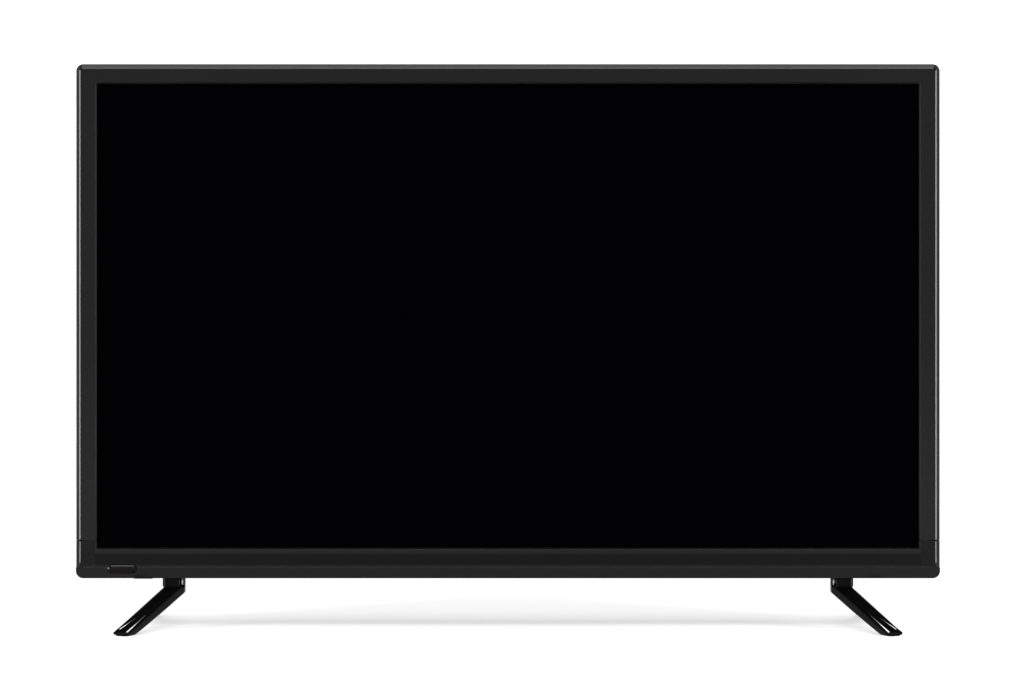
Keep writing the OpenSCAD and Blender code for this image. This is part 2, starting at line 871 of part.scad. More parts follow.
module antenna_socket() {
    z = board_z + antenna_rise;
    tip_x = socket_x - antenna_out;
    bore_x = tip_x + antenna_bore_len;
    color("#d0d2d4")
        difference() {
            rod_x(antenna_d, z, antenna_r, tip_x, can_x);
            rod_x(antenna_d, z, antenna_bore_r, tip_x - over, bore_x);
            rod_x(antenna_d, z, antenna_contact_r, bore_x - over, bore_x + antenna_contact_len);
        }
}

// A metal shell open to the side, with a contact tongue inside
module shell_socket(rise, w, h, depth, cavity, shell, tongue_w, tongue_t, tongue_short) {
    z = board_z + rise;
    mid_d = board_back_d + h / 2;
    difference() {
        block(socket_x, socket_x + depth, board_back_d, board_back_d + h, z - w / 2, z + w / 2);
        block(socket_x - over, socket_x + cavity, board_back_d + shell, board_back_d + h - shell,
              z - w / 2 + shell, z + w / 2 - shell);
    }
    block(socket_x + tongue_short, socket_x + cavity, mid_d - tongue_t / 2, mid_d + tongue_t / 2,
          z - tongue_w / 2, z + tongue_w / 2);
}

hdmi_w = 15.2;
hdmi_h = 6.2;
hdmi_depth = 12;
hdmi_cavity = 9;
hdmi_shell = 0.5;
hdmi_tongue_w = 10;
hdmi_tongue_t = 1.2;
hdmi_tongue_short = 1.5;

module hdmi_sockets() {
    color("#c8cacc")
        for (rise = hdmi_rises)
            shell_socket(rise, hdmi_w, hdmi_h, hdmi_depth, hdmi_cavity, hdmi_shell,
                         hdmi_tongue_w, hdmi_tongue_t, hdmi_tongue_short);
}

usb_w = 14.2;
usb_h = 6.8;
usb_depth = 14;
usb_cavity = 11;
usb_shell = 0.6;
usb_tongue_w = 10.5;
usb_tongue_t = 1.9;
usb_tongue_short = 2;

module usb_socket() {
    color("#c8cacc")
        shell_socket(usb_rise, usb_w, usb_h, usb_depth, usb_cavity, usb_shell,
                     usb_tongue_w, usb_tongue_t, usb_tongue_short);
}

jack_w = 10;
jack_h = 9;
jack_depth = 14;
jack_bore_r = 1.8;
jack_bore_len = 12;
jack_d = board_back_d + jack_h / 2;

module headphone_jack() {
    z = board_z + headphone_rise;
    color("#141414")
        difference() {
            block(socket_x, socket_x + jack_depth, board_back_d, board_back_d + jack_h,
                  z - jack_w / 2, z + jack_w / 2);
            rod_x(jack_d, z, jack_bore_r, socket_x - over, socket_x + jack_bore_len);
        }
}

av_w = 10.5;
av_depth = 10;
av_barrel_r = 4.1;
av_out = 8;
av_bore_r = 1.65;
av_bore_len = 9;
av_d = board_back_d + av_w / 2;
av_x = -bulge_in_x + fit;
av_colors = ["#b02020", "#e6e6e2", "#d8b020"];

// Three round picture and sound sockets
module av_sockets() {
    tip_x = socket_x - av_out;
    for (i = [0:len(av_rises) - 1]) {
        z = board_z + av_rises[i];
        color(av_colors[i])
            difference() {
                union() {
                    block(av_x, av_x + av_depth, board_back_d, board_back_d + av_w,
                          z - av_w / 2, z + av_w / 2);
                    rod_x(av_d, z, av_barrel_r, tip_x, av_x);
                }
                rod_x(av_d, z, av_bore_r, tip_x - over, tip_x + av_bore_len);
            }
    }
}

module power_board() {
    color("#8a6a2c")
        drilled_board(power_x0, power_x1, power_posts);
}

core_x = 36;
core_z = 58;
core_w = 38;
core_h = 32;
core_depth = 24;
cap_r = 9;
cap_h = 26;
cap_first = 20;
cap_pitch = 24;
cap_count = 3;
cap_z = 25;
plate_x = 14;
plate_z = 50;
plate_h = 60;
plate_thick = 3;
plate_depth = 24;
plate_fin = 8;

module power_transformer() {
    x0 = power_x0 + core_x;
    z0 = board_z + core_z;
    color("#3a3532")
        block(x0, x0 + core_w, board_back_d, board_back_d + core_depth, z0, z0 + core_h);
}

module power_capacitors() {
    color("#20304a")
        for (i = [0:cap_count - 1])
            rod_y(power_x0 + cap_first + i * cap_pitch, board_z + cap_z, cap_r,
                  board_back_d, board_back_d + cap_h);
}

module power_heatsink() {
    x0 = power_x0 + plate_x;
    z0 = board_z + plate_z;
    color("#b4b7ba") {
        block(x0, x0 + plate_thick, board_back_d, board_back_d + plate_depth, z0, z0 + plate_h);
        for (z = [z0, z0 + plate_h - plate_thick])
            block(x0, x0 + plate_fin, board_back_d, board_back_d + plate_depth, z, z + plate_thick);
    }
}

// Two-pin mains inlet
inlet_rise = 24;
inlet_w = 24;
inlet_h = 16;
inlet_depth = 20;
inlet_cavity_w = 15;
inlet_cavity_h = 9;
inlet_cavity = 12;
inlet_pin_r = 1.2;
inlet_pin_x = 4.3;
inlet_pin_short = 3;
inlet_z = board_z + inlet_rise;
inlet_d = board_back_d + inlet_h / 2;

module ac_inlet() {
    color("#151515") {
        difference() {
            block(bulge_x - inlet_depth, bulge_x, board_back_d, board_back_d + inlet_h,
                  inlet_z - inlet_w / 2, inlet_z + inlet_w / 2);
            block(bulge_x - inlet_cavity, bulge_x + over,
                  inlet_d - inlet_cavity_h / 2, inlet_d + inlet_cavity_h / 2,
                  inlet_z - inlet_cavity_w / 2, inlet_z + inlet_cavity_w / 2);
        }
        for (side = [-1, 1])
            rod_x(inlet_d, inlet_z + side * inlet_pin_x, inlet_pin_r,
                  bulge_x - inlet_cavity, bulge_x - inlet_pin_short);
    }
}

// The side keys

// The keys from below: source, menu, volume up, volume down, channel up, channel down
key_count = 6;
key_first = 52;
key_depth_in = 16;
key_flange = 1;
key_d = board_back_d + key_depth_in;
key_in_x = bulge_in_x - key_gap - flange_t;
key_board_x1 = key_in_x - plunger_gap - plunger_h - switch_h;
key_board_x0 = key_board_x1 - board_t;
key_board_h = 14;
key_post_r = 2.6;
key_post_gap = 0.6;
key_post_reach = key_len / 2 + key_flange + key_post_r + key_post_gap;
key_board_end = key_post_reach + key_post_r;
key_posts = [key_z(0) - key_post_reach, key_z(key_count - 1) + key_post_reach];

function key_z(i) = board_z + key_first + i * key_pitch;

// One key: a cap through the rear cover's side wall and a flange behind it
module side_key(i) {
    z = key_z(i);
    color("#1c1c1c") {
        block(bulge_in_x - key_gap, bulge_x + key_proud, key_d - key_wide / 2, key_d + key_wide / 2,
              z - key_len / 2, z + key_len / 2);
        block(key_in_x, bulge_in_x - key_gap,
              key_d - key_wide / 2 - key_flange, key_d + key_wide / 2 + key_flange,
              z - key_len / 2 - key_flange, z + key_len / 2 + key_flange);
    }
}

module source_key() side_key(0);
module menu_key() side_key(1);
module volume_up_key() side_key(2);
module volume_down_key() side_key(3);
module channel_up_key() side_key(4);
module channel_down_key() side_key(5);

module key_board() {
    color("#1f5c33")
        difference() {
            block(key_board_x0, key_board_x1, key_d - key_board_h / 2, key_d + key_board_h / 2,
                  key_z(0) - key_board_end, key_z(key_count - 1) + key_board_end);
            for (z = key_posts)
                rod_x(key_d, z, board_hole_r, key_board_x0 - over, key_board_x1 + over);
        }
}

// Small push switches under the keys, with the power key's switch on the infrared board
module key_switches() {
    power_z = power_key_top_z + plunger_gap;
    power_d = (power_key_d0 + power_key_d1) / 2;
    color("#2a2a2a") {
        for (i = [0:key_count - 1]) {
            block(key_board_x1, key_board_x1 + switch_h, key_d - switch_w / 2, key_d + switch_w / 2,
                  key_z(i) - switch_w / 2, key_z(i) + switch_w / 2);
            rod_x(key_d, key_z(i), plunger_r, key_board_x1 + switch_h, key_board_x1 + switch_h + plunger_h);
        }
        block(power_key_x - switch_w / 2, power_key_x + switch_w / 2, power_d - plunger_r - fit, ir_board_d,
              power_z + plunger_h, power_z + plunger_h + switch_h);
        rod_z(power_key_x, power_d, plunger_r, power_z, power_z + plunger_h);
    }
}

// The speakers, made on the right and mirrored

grommet_r = 4;
grommet_h = 2.5;
grommet_inset = 8;
speaker_end = 8;
speaker_back = 5;
speaker_x = bulge_in_x - speaker_end - speaker_w / 2;
speaker_z = bulge_in_z + grommet_h;
speaker_top_z = speaker_z + speaker_h;
speaker_d0 = pan_back_d + speaker_back;
speaker_d1 = speaker_d0 + speaker_depth;
speaker_d = (speaker_d0 + speaker_d1) / 2;
cone_gap = 0.4;
surround_w = 0.8;
basket_t = 1.2;
basket_h = 9;
basket_wall_r = cone_r + cone_gap + surround_w + fit;
basket_rim = 3.8;
basket_r = basket_wall_r + basket_rim;
basket_cup_t = 1.8;
basket_cup_r = basket_wall_r + basket_cup_t;
basket_z = speaker_z - basket_t;
coil_inset = 3.4;
coil_r = cone_r - coil_inset;
coil_t = 0.4;
coil_len = 7;
gap_clear = 0.5;
magnet_edge = 1;
magnet_r = cone_r + magnet_edge;
magnet_h = 9;
magnet_back = 3;
cone_t = 0.6;
cone_rise = 3.4;
cone_z = 0.6;

module mirrored() {
    children();
    mirror([1, 0, 0])
        children();
}

// An outline of [radius, height] points turned about a speaker's axis
module speaker_turn(points) {
    translate([speaker_x, front_y + speaker_d, basket_z])
        rotate_extrude()
            polygon(points);
}

module right_box() {
    difference() {
        block(speaker_x - speaker_w / 2, speaker_x + speaker_w / 2, speaker_d0, speaker_d1,
              speaker_z, speaker_top_z);
        block(speaker_x - speaker_w / 2 + speaker_wall, speaker_x + speaker_w / 2 - speaker_wall,
              speaker_d0 + speaker_wall, speaker_d1 - speaker_wall,
              speaker_z + speaker_wall, speaker_top_z - speaker_wall);
        rod_z(speaker_x, speaker_d, basket_cup_r + fit, speaker_z - over, speaker_z + speaker_wall + over);
    }
}

module speaker_box_right() {
    color("#161616")
        right_box();
}

module speaker_box_left() {
    color("#161616")
        mirror([1, 0, 0])
            right_box();
}

// Pressed basket with its flange under the box
module speaker_baskets() {
    neck_r = coil_r + gap_clear + coil_t;
    color("#70757a")
        mirrored()
            speaker_turn([[basket_wall_r, 0], [basket_r, 0], [basket_r, basket_t], [basket_cup_r, basket_t],
                          [basket_cup_r, basket_h], [neck_r, basket_h], [neck_r, basket_h - basket_t],
                          [basket_wall_r, basket_h - basket_t]]);
}

// Ring magnet with its pole and back plate, and the gap the coil runs in
module speaker_magnets() {
    pole_r = coil_r - coil_t - gap_clear;
    gap_r = coil_r + gap_clear;
    top = basket_h + magnet_h;
    color("#3c3f43")
        mirrored()
            speaker_turn([[0, basket_h], [pole_r, basket_h],
                          [pole_r, top - magnet_back], [gap_r, top - magnet_back],
                          [gap_r, basket_h], [magnet_r, basket_h], [magnet_r, top], [0, top]]);
}

// Foam ring round each cone
module speaker_surrounds() {
    color("#202020")
        mirrored()
            speaker_turn([[cone_r + cone_gap, 0], [basket_wall_r - fit, 0], [basket_wall_r - fit, basket_t],
                          [cone_r + cone_gap, basket_t]]);
}

// Paper cone with its dust cap and coil former
module cone_solid() {
    top_z = cone_z + cone_rise;
    speaker_turn([[0, top_z], [coil_r, top_z], [cone_r, cone_z],
                  [cone_r, cone_z + cone_t], [coil_r, top_z + cone_t], [coil_r, top_z + coil_len],
                  [coil_r - coil_t, top_z + coil_len], [coil_r - coil_t, top_z + cone_t],
                  [0, top_z + cone_t]]);
}

module right_cone() {
    color("#2b2b2b")
        cone_solid();
}

module left_cone() {
    color("#2b2b2b")
        mirror([1, 0, 0])
            cone_solid();
}

module speaker_grommets() {
    color("#1a1a1a")
        mirrored()
            for (side = [-1, 1], d = [speaker_d0 + grommet_inset, speaker_d1 - grommet_inset])
                rod_z(speaker_x + side * (speaker_w / 2 - grommet_inset), d, grommet_r,
                      bulge_in_z, speaker_z);
}

// The case and the stand

body_mid_z = body_z + tv_h / 2;
grille_slots = 9;
grille_w = 1.8;
grille_pitch = 3.4;
grille_len = 24;
vent_back = 4;
vent_rise = 30;

// The sloped edge, carried a little past the cover's side and back
module edge_slope(half_x, half_z, d1) {
    k = slope_inset / slope_run;
    frustum(body_mid_z, half_x + over * k, half_z + over * k,
            half_x - slope_inset - over * k, half_z - slope_inset - over * k,
            d1 - slope_run - over, d1 + over, d1);
}

module cover_shape(inset, d0, d1) {
    intersection() {
        round_slab(side_x - inset, body_z + inset, top_z - inset, corner_r - inset, d0, d1);
        edge_slope(side_x - inset, tv_h / 2 - inset, d1);
    }
}

// The bulge with round corners and a bevel round its back
module bulge_shape(inset, d0, d1) {
    x = bulge_x - inset;
    z0 = bulge_z + inset;
    z1 = bulge_top_z - inset;
    r = bulge_r - inset;
    b = bulge_bevel;
    round_slab(x, z0, z1, r, d0, d1 - b);
    prism_z([[-x, d1 - b], [-x + b, d1], [x - b, d1], [x, d1 - b]], z0 + r, z1 - r);
    prism_x([[d1 - b, z0], [d1, z0 + b], [d1, z1 - b], [d1 - b, z1]], -x + r, x - r);
    for (side = [-1, 1], z = [z0 + r, z1 - r])
        rod_y(side * (x - r), z, r, d1 - b, d1, r - b);
}

module side_cut(rise, w, d0, d1, side) {
    z = board_z + rise;
    x = side * bulge_x;
    block(x - wall - over, x + wall + over, d0 - fit, d1 + fit, z - w / 2 - fit, z + w / 2 + fit);
}

module round_side_cut(rise, d, r) {
    rod_x(d, board_z + rise, r + hole_fit, -bulge_x - over, -bulge_in_x + over);
}

module socket_cuts() {
    for (rise = hdmi_rises)
        side_cut(rise, hdmi_w, board_back_d, board_back_d + hdmi_h, -1);
    side_cut(usb_rise, usb_w, board_back_d, board_back_d + usb_h, -1);
    side_cut(headphone_rise, jack_w, board_back_d, board_back_d + jack_h, -1);
    side_cut(inlet_rise, inlet_w, board_back_d, board_back_d + inlet_h, 1);
    round_side_cut(antenna_rise, antenna_d, antenna_r);
    for (rise = av_rises)
        round_side_cut(rise, av_d, av_barrel_r);
    for (i = [0:key_count - 1])
        block(bulge_in_x - over, bulge_x + over,
              key_d - key_wide / 2 - key_fit, key_d + key_wide / 2 + key_fit,
              key_z(i) - key_len / 2 - key_fit, key_z(i) + key_len / 2 + key_fit);
}

module vents() {
    for (i = [0:vent_count - 1]) {
        x = (i - (vent_count - 1) / 2) * vent_pitch;
        block(x - vent_w / 2, x + vent_w / 2, cover_back_d + vent_back, cover_back_d + vent_back + vent_len,
              bulge_top_z - wall - over, bulge_top_z + over);
        block(x - vent_w / 2, x + vent_w / 2, cover_in_d - over, cover_back_d + over,
              bulge_top_z + vent_rise, bulge_top_z + vent_rise + vent_len);
    }
}

module speaker_grilles() {
    mirrored()
        for (i = [0:grille_slots - 1]) {
            x = speaker_x + (i - (grille_slots - 1) / 2) * grille_pitch;
            block(x - grille_w / 2, x + grille_w / 2, speaker_d - grille_len / 2, speaker_d + grille_len / 2,
                  bulge_z - over, bulge_in_z + over);
        }
}

// Ribless shell with the bulge over the boards, ABS
module rear_cover() {
    color("#1e1e1e")
        difference() {
            union() {
                difference() {
                    union() {
                        cover_shape(0, surround_depth, cover_back_d);
                        bulge_shape(0, cover_in_d, bulge_back_d);
                    }
                    cover_shape(wall, surround_depth - over, cover_in_d);
                    bulge_shape(wall, cover_in_d - over, bulge_in_d);
                    socket_cuts();
                    vents();
                    speaker_grilles();
                }
                for (z = key_posts)
                    rod_x(key_d, z, key_post_r, key_board_x1, bulge_in_x);
            }
            for (z = key_posts)
                rod_x(key_d, z, screw_r + thread_fit, key_board_x1 - over, bulge_in_x);
            bosses(cover_bosses, board_hole_r, cover_in_d - over, cover_back_d + over);
            bosses(cover_bosses, cover_head_r + fit, cover_back_d - cover_head_h, cover_back_d + over);
            bosses(vesa_points, vesa_r + hole_fit, bulge_in_d - over, bulge_back_d + over);
            mirrored()
                block(tongue_x0 - fit, tongue_x1 + fit, tongue_d0 - fit, tongue_d1 + fit,
                      body_z - over, body_z + wall + over);
        }
}

module cover_screws() {
    color("#2c2c2c") {
        bosses(cover_bosses, screw_r, pan_back_d, cover_back_d - cover_head_h);
        bosses(cover_bosses, cover_head_r, cover_back_d - cover_head_h, cover_back_d);
    }
}

// Threaded pillars from the back pan to the bulge's back
module vesa_standoffs() {
    end_d = bulge_back_d - vesa_sunk;
    color("#a9adb2")
        difference() {
            bosses(vesa_points, vesa_r, pan_back_d, end_d);
            bosses(vesa_points, vesa_thread_r, end_d - vesa_depth, end_d + over);
        }
}

// One foot, made on the right and mirrored
neck_lead = 1.5;
neck_low = 13.4;
neck_side_h = 6.5;
stem_depth = 7.3;
stem_draft = 1;
tongue_in = 2;
tongue_rise = 13.5;
tip_t = 0.4;
pad_sunk = 1.5;
pad_edge = 2;
foot_x = side_x - foot_inset;
neck_x0 = foot_x - neck_w / 2;
neck_x1 = foot_x + neck_w / 2;
neck_d0 = surround_depth + neck_lead;
neck_d1 = neck_d0 + neck_depth;
tongue_x0 = neck_x0 + tongue_in;
tongue_x1 = neck_x1 - tongue_in;
tongue_d0 = neck_d0 + tongue_in;
tongue_d1 = neck_d1 - tongue_in;
arm_x0 = neck_x0 + arm_shift;
arm_x1 = arm_x0 + arm_w;
arm_z0 = body_z - neck_low;
arm_z1 = body_z - neck_h;
neck_plate_d = neck_d0 + stem_depth;
toe_x0 = arm_x0 + toe_out;
toe_x1 = toe_x0 + arm_w;
toe_front_d = front_ahead - foot_reach;
toe_back_d = front_ahead + foot_reach;
sole_lean = toe_out / (neck_d0 - toe_front_d);
bracket_z = body_z + wall + tongue_rise;
bracket_t = 2.5;
bracket_w = 30;
bracket_up = 46;
bracket_gap = 0.6;
bracket_d0 = prism_d + skirt_len + bracket_gap;
bracket_hole_x = 8;
bracket_hole_drop = 8;
bracket_screws = [for (side = [-1, 1], shift = [-1, 1])
    [side * foot_x + shift * bracket_hole_x, bracket_z + bracket_up - bracket_hole_drop]];
foot_screw_x = 4.2;
foot_screw_back = 5.2;
foot_screw_d = bracket_d0 + foot_screw_back;
foot_head_r = 3.3;
foot_head_h = 2.5;
foot_head_sunk = 4;

// An outline of [x, z] points carried along the depth
module prism_y(points, d0, d1) {
    translate([0, front_y + d1, 0])
        rotate([90, 0, 0])
            linear_extrude(height = d1 - d0)
                polygon(points);
}

// Outline of a sole as [x, distance from the tip], drawn in by an edge. It follows the arm inwards.
function sole_points(edge) = [for (p = [[toe_x0 + edge, edge], [toe_x1 - toe_bevel - edge, edge],
                                        [toe_x1 - toe_bevel - edge, toe_len - edge],
                                        [toe_x0 + edge, toe_len - edge]])
    [p[0] - sole_lean * p[1], p[1]]];

// Flat sole under a toe, with its tip at a depth and its length running the given way from there
module sole(tip_d, way, edge, z0, z1) {
    prism_z([for (p = sole_points(edge)) [p[0], tip_d + way * p[1]]], z0, z1);
}

// Stem in front of the neck, which carries the arms
module stem(z1) {
    prism_z([[arm_x0, neck_d0], [arm_x1, neck_d0], [arm_x1 + stem_draft, neck_plate_d],
             [arm_x0 - stem_draft, neck_plate_d]], arm_z0, z1);
}

// Blade that runs outwards and down from the neck to a toe
module foot_arm(tip_d, way) {
    hull() {
        stem(arm_z1);
        block(neck_x0, arm_x1, neck_plate_d, neck_d1, arm_z0, arm_z1);
        block(toe_x0, toe_x1, min(tip_d, tip_d + way * tip_t), max(tip_d, tip_d + way * tip_t),
              toe_h - tip_t, toe_h);
        sole(tip_d, way, 0, pad_proud, pad_proud + tip_t);
    }
}

module pads(grow) {
    sole(toe_front_d, 1, pad_edge + grow, 0, pad_proud + pad_sunk);
    sole(toe_back_d, -1, pad_edge + grow, 0, pad_proud + pad_sunk);
}

module foot_solid() {
    difference() {
        union() {
            stem(body_z);
            prism_y([[neck_x0, arm_z0], [arm_x1, arm_z0], [neck_x1, body_z - neck_side_h],
                     [neck_x1, body_z], [neck_x0, body_z]], neck_plate_d, neck_d1);
            block(tongue_x0, tongue_x1, tongue_d0, tongue_d1, body_z, bracket_z);
            foot_arm(toe_front_d, 1);
            foot_arm(toe_back_d, -1);
        }
        for (shift = [-1, 1]) {
            rod_z(foot_x + shift * foot_screw_x, foot_screw_d, foot_screw_r + hole_fit, 0, bracket_z + over);
            rod_z(foot_x + shift * foot_screw_x, foot_screw_d, foot_head_r + hole_fit,
                  0, body_z - foot_head_sunk);
        }
        pads(0);
    }
}

module foot_right() {
    color("#0c0c0c")
        foot_solid();
}

module foot_left() {
    color("#0c0c0c")
        mirror([1, 0, 0])
            foot_solid();
}

module foot_pads() {
    color("#101010")
        mirrored()
            pads(fit);
}

// Steel angle on the back pan that takes the foot screws
module foot_brackets() {
    back_d = pan_back_d + bracket_t;
    color("#9a9da1")
        difference() {
            mirrored() {
                block(foot_x - bracket_w / 2, foot_x + bracket_w / 2, bracket_d0, back_d,
                      bracket_z, bracket_z + bracket_t);
                block(foot_x - bracket_w / 2, foot_x + bracket_w / 2, pan_back_d, back_d,
                      bracket_z, bracket_z + bracket_up);
            }
            bosses(bracket_screws, board_hole_r, pan_back_d - over, back_d + over);
            bosses(bracket_screws, small_head_r + fit, back_d - small_head_h, back_d + over);
            mirrored()
                for (shift = [-1, 1])
                    rod_z(foot_x + shift * foot_screw_x, foot_screw_d, foot_screw_r + thread_fit,
                          bracket_z - over, bracket_z + bracket_t + over);
        }
}

module foot_screws() {
    head_z = body_z - foot_head_sunk;
    color("#8f9297")
        mirrored()
            for (shift = [-1, 1]) {
                rod_z(foot_x + shift * foot_screw_x, foot_screw_d, foot_screw_r,
                      head_z, bracket_z + bracket_t);
                rod_z(foot_x + shift * foot_screw_x, foot_screw_d, foot_head_r, head_z - foot_head_h, head_z);
            }
}

// Screws of the boards, the infrared board, the key board and the foot brackets
module inner_screws() {
    ir_back_d = ir_board_d + source_t;
    bracket_head_d = pan_back_d + bracket_t - small_head_h;
    color("#b8bbc0") {
        bosses(board_posts, screw_r, pan_back_d, board_back_d);
        bosses(board_posts, board_head_r, board_back_d, board_back_d + board_head_h);
        bosses(ir_bosses, screw_r, face_back, ir_back_d);
        bosses(ir_bosses, small_head_r, ir_back_d, ir_back_d + small_head_h);
        bosses(bracket_screws, screw_r, pan_floor_d, bracket_head_d);
        bosses(bracket_screws, small_head_r, bracket_head_d, bracket_head_d + small_head_h);
        for (z = key_posts) {
            rod_x(key_d, z, screw_r, key_board_x0, bulge_in_x - fit);
            rod_x(key_d, z, small_head_r, key_board_x0 - small_head_h, key_board_x0);
        }
    }
}

// Wire looms between the boards, speakers, keys, light bars and infrared board
loom_h = 12;
loom_gap = 4;
loom_plug = 10;
loom_plug_t = 6;
loom_lift = 2;
loom_t = 2;
lead_w = 4;
lead_plug = 8;
left_lead_in = 75;
right_lead_in = 21;
right_lead_drop = 6;
light_lead_in = 60;
light_lead_rise = 112;
ir_lead_rise = 20;
ir_lead_in = 12;

module wire_looms() {
    loom_z = vesa_z - vesa_h / 2 + vesa_r + loom_gap + loom_h / 2;
    plug_d = board_back_d + loom_plug_t;
    d0 = board_back_d + loom_lift;
    d1 = d0 + loom_t;
    left_x = main_x0 + left_lead_in;
    right_x = main_x1 - right_lead_in;
    key_lead_z = key_z(key_count - 1);
    ir_lead_z = source_z + source_h - loom_t;
    ir_up_d = pan_back_d + lvds_clear;
    ir_x = (ir_x0 + ir_x1) / 2;
    ir_end_x = main_x0 + ir_lead_in;
    ir_end_z = board_z + ir_lead_rise;
    color("#c9c2b0") {
        // Power loom between the two large boards
        block(main_x1 - loom_plug, power_x0 + loom_plug, d0, d1, loom_z - loom_h / 2, loom_z + loom_h / 2);
        for (x = [main_x1 - loom_plug, power_x0])
            block(x, x + loom_plug, board_back_d, plug_d, loom_z - loom_h / 2, loom_z + loom_h / 2);
        // Left speaker lead
        block(left_x, left_x + lead_w, d0, d1, speaker_top_z, board_z + lead_plug);
        block(left_x, left_x + lead_plug, board_back_d, plug_d, board_z + loom_lift, board_z + lead_plug);
        // Right speaker lead
        block(right_x, right_x + lead_w, d0, d1, board_z - right_lead_drop, board_z + lead_plug);
        block(right_x, right_x + lead_plug, board_back_d, plug_d, board_z + loom_lift, board_z + lead_plug);
        block(right_x, speaker_x, d0, d1, board_z - right_lead_drop, board_z - right_lead_drop + loom_t);
        block(speaker_x - lead_w, speaker_x, d0, d1, speaker_top_z, board_z - right_lead_drop + loom_t);
        // Key lead
        block(right_x, key_board_x0, key_d - loom_t / 2, key_d + loom_t / 2,
              key_lead_z - loom_t / 2, key_lead_z + loom_t / 2);
        block(right_x, right_x + lead_w, board_back_d, key_d + loom_t / 2,
              key_lead_z - loom_t / 2, key_lead_z + loom_t / 2);
        // Light bar lead
        block(power_x0 + light_lead_in, power_x0 + light_lead_in + lead_plug, pan_back_d, board_d,
              board_z + light_lead_rise, board_z + light_lead_rise + lead_w);
        // Infrared lead
        block(ir_x, ir_x + lead_w, ir_board_d + source_t, ir_up_d + loom_t, ir_lead_z, ir_lead_z + loom_t);
        block(ir_x, ir_x + lead_w, ir_up_d, ir_up_d + loom_t, ir_lead_z, ir_end_z + loom_t);
        block(ir_x, ir_end_x + lead_w, ir_up_d, ir_up_d + loom_t, ir_end_z, ir_end_z + loom_t);
        block(ir_end_x, ir_end_x + lead_w, ir_up_d, board_d, ir_end_z, ir_end_z + loom_t);
    }
}

front_frame();
bottom_bar();
ir_window();
power_key();
lcd_panel();
mid_frame();
prism_film();
diffuser_film();
diffuser_plate();
reflector_sheet();
led_bars();
led_lenses();
diffuser_posts();
back_pan();
source_board();
cof_tapes();
lvds_cable();
frame_screws();
main_board();
chip_heatsink();
tuner_can();
antenna_socket();
hdmi_sockets();
usb_socket();
headphone_jack();
av_sockets();
power_board();
power_transformer();
power_capacitors();
power_heatsink();
ac_inlet();
ir_board();
ir_sensor();
key_board();
key_switches();
source_key();
menu_key();
volume_up_key();
volume_down_key();
channel_up_key();
channel_down_key();
speaker_box_left();
speaker_box_right();
speaker_baskets();
speaker_magnets();
speaker_surrounds();
left_cone();
right_cone();
speaker_grommets();
rear_cover();
cover_screws();
vesa_standoffs();
foot_left();
foot_right();
foot_pads();
foot_brackets();
foot_screws();
inner_screws();
wire_looms();
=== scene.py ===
# Flat screen television on two feet: the looks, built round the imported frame.
# Metres. +X is to the right seen from the front, the screen faces -Y, +Z is up.

import json
import math

import bmesh
import bpy
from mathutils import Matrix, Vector

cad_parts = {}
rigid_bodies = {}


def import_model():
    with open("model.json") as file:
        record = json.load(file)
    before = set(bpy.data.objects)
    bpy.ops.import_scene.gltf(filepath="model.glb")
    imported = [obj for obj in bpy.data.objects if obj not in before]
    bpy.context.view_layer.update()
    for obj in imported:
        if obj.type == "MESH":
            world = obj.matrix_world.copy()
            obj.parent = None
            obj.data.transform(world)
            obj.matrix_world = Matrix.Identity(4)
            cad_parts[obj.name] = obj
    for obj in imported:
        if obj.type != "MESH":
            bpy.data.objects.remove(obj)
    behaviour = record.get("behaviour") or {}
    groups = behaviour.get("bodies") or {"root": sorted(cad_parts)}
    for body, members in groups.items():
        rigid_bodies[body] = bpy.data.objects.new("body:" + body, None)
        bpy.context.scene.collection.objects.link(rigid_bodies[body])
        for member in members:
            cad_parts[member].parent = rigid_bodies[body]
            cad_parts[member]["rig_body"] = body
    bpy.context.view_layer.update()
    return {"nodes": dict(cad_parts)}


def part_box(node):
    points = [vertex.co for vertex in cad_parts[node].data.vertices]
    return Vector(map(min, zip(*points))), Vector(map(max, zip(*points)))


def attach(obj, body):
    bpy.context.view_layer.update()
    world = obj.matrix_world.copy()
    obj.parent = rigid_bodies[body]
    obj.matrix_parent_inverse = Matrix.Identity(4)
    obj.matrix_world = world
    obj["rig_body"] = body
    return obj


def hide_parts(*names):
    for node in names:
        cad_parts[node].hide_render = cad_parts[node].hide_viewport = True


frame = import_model()

# Camera
# A long lens square to the screen, at about its middle. The photograph's frame is 1024 by 683 pixels.
# The shift puts the horizon and the set's middle where the photograph has them.
IMAGE_WIDTH_PX = 1024
IMAGE_HEIGHT_PX = 683
PX_PER_METRE = 1175.3
HORIZON_PX = 323.5
SET_MIDDLE_PX = 507.95
EYE_HEIGHT = 0.26
EYE_TO_SURROUND = 2.6
SENSOR = 0.036
surround_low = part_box("front_frame")[0]
camera_data = bpy.data.cameras.new("camera")
camera_data.sensor_width = SENSOR * 1000
camera_data.lens = SENSOR * 1000 * PX_PER_METRE * EYE_TO_SURROUND / IMAGE_WIDTH_PX
camera_data.shift_x = (IMAGE_WIDTH_PX / 2 - SET_MIDDLE_PX) / IMAGE_WIDTH_PX
camera_data.shift_y = (HORIZON_PX - IMAGE_HEIGHT_PX / 2) / IMAGE_WIDTH_PX
camera = bpy.data.objects.new("camera", camera_data)
camera.location = (0, surround_low.y - EYE_TO_SURROUND, EYE_HEIGHT)
camera.rotation_euler = (math.radians(90), 0, 0)
bpy.context.scene.collection.objects.link(camera)
bpy.context.scene.camera = camera
bpy.context.scene.view_settings.view_transform = "Standard"


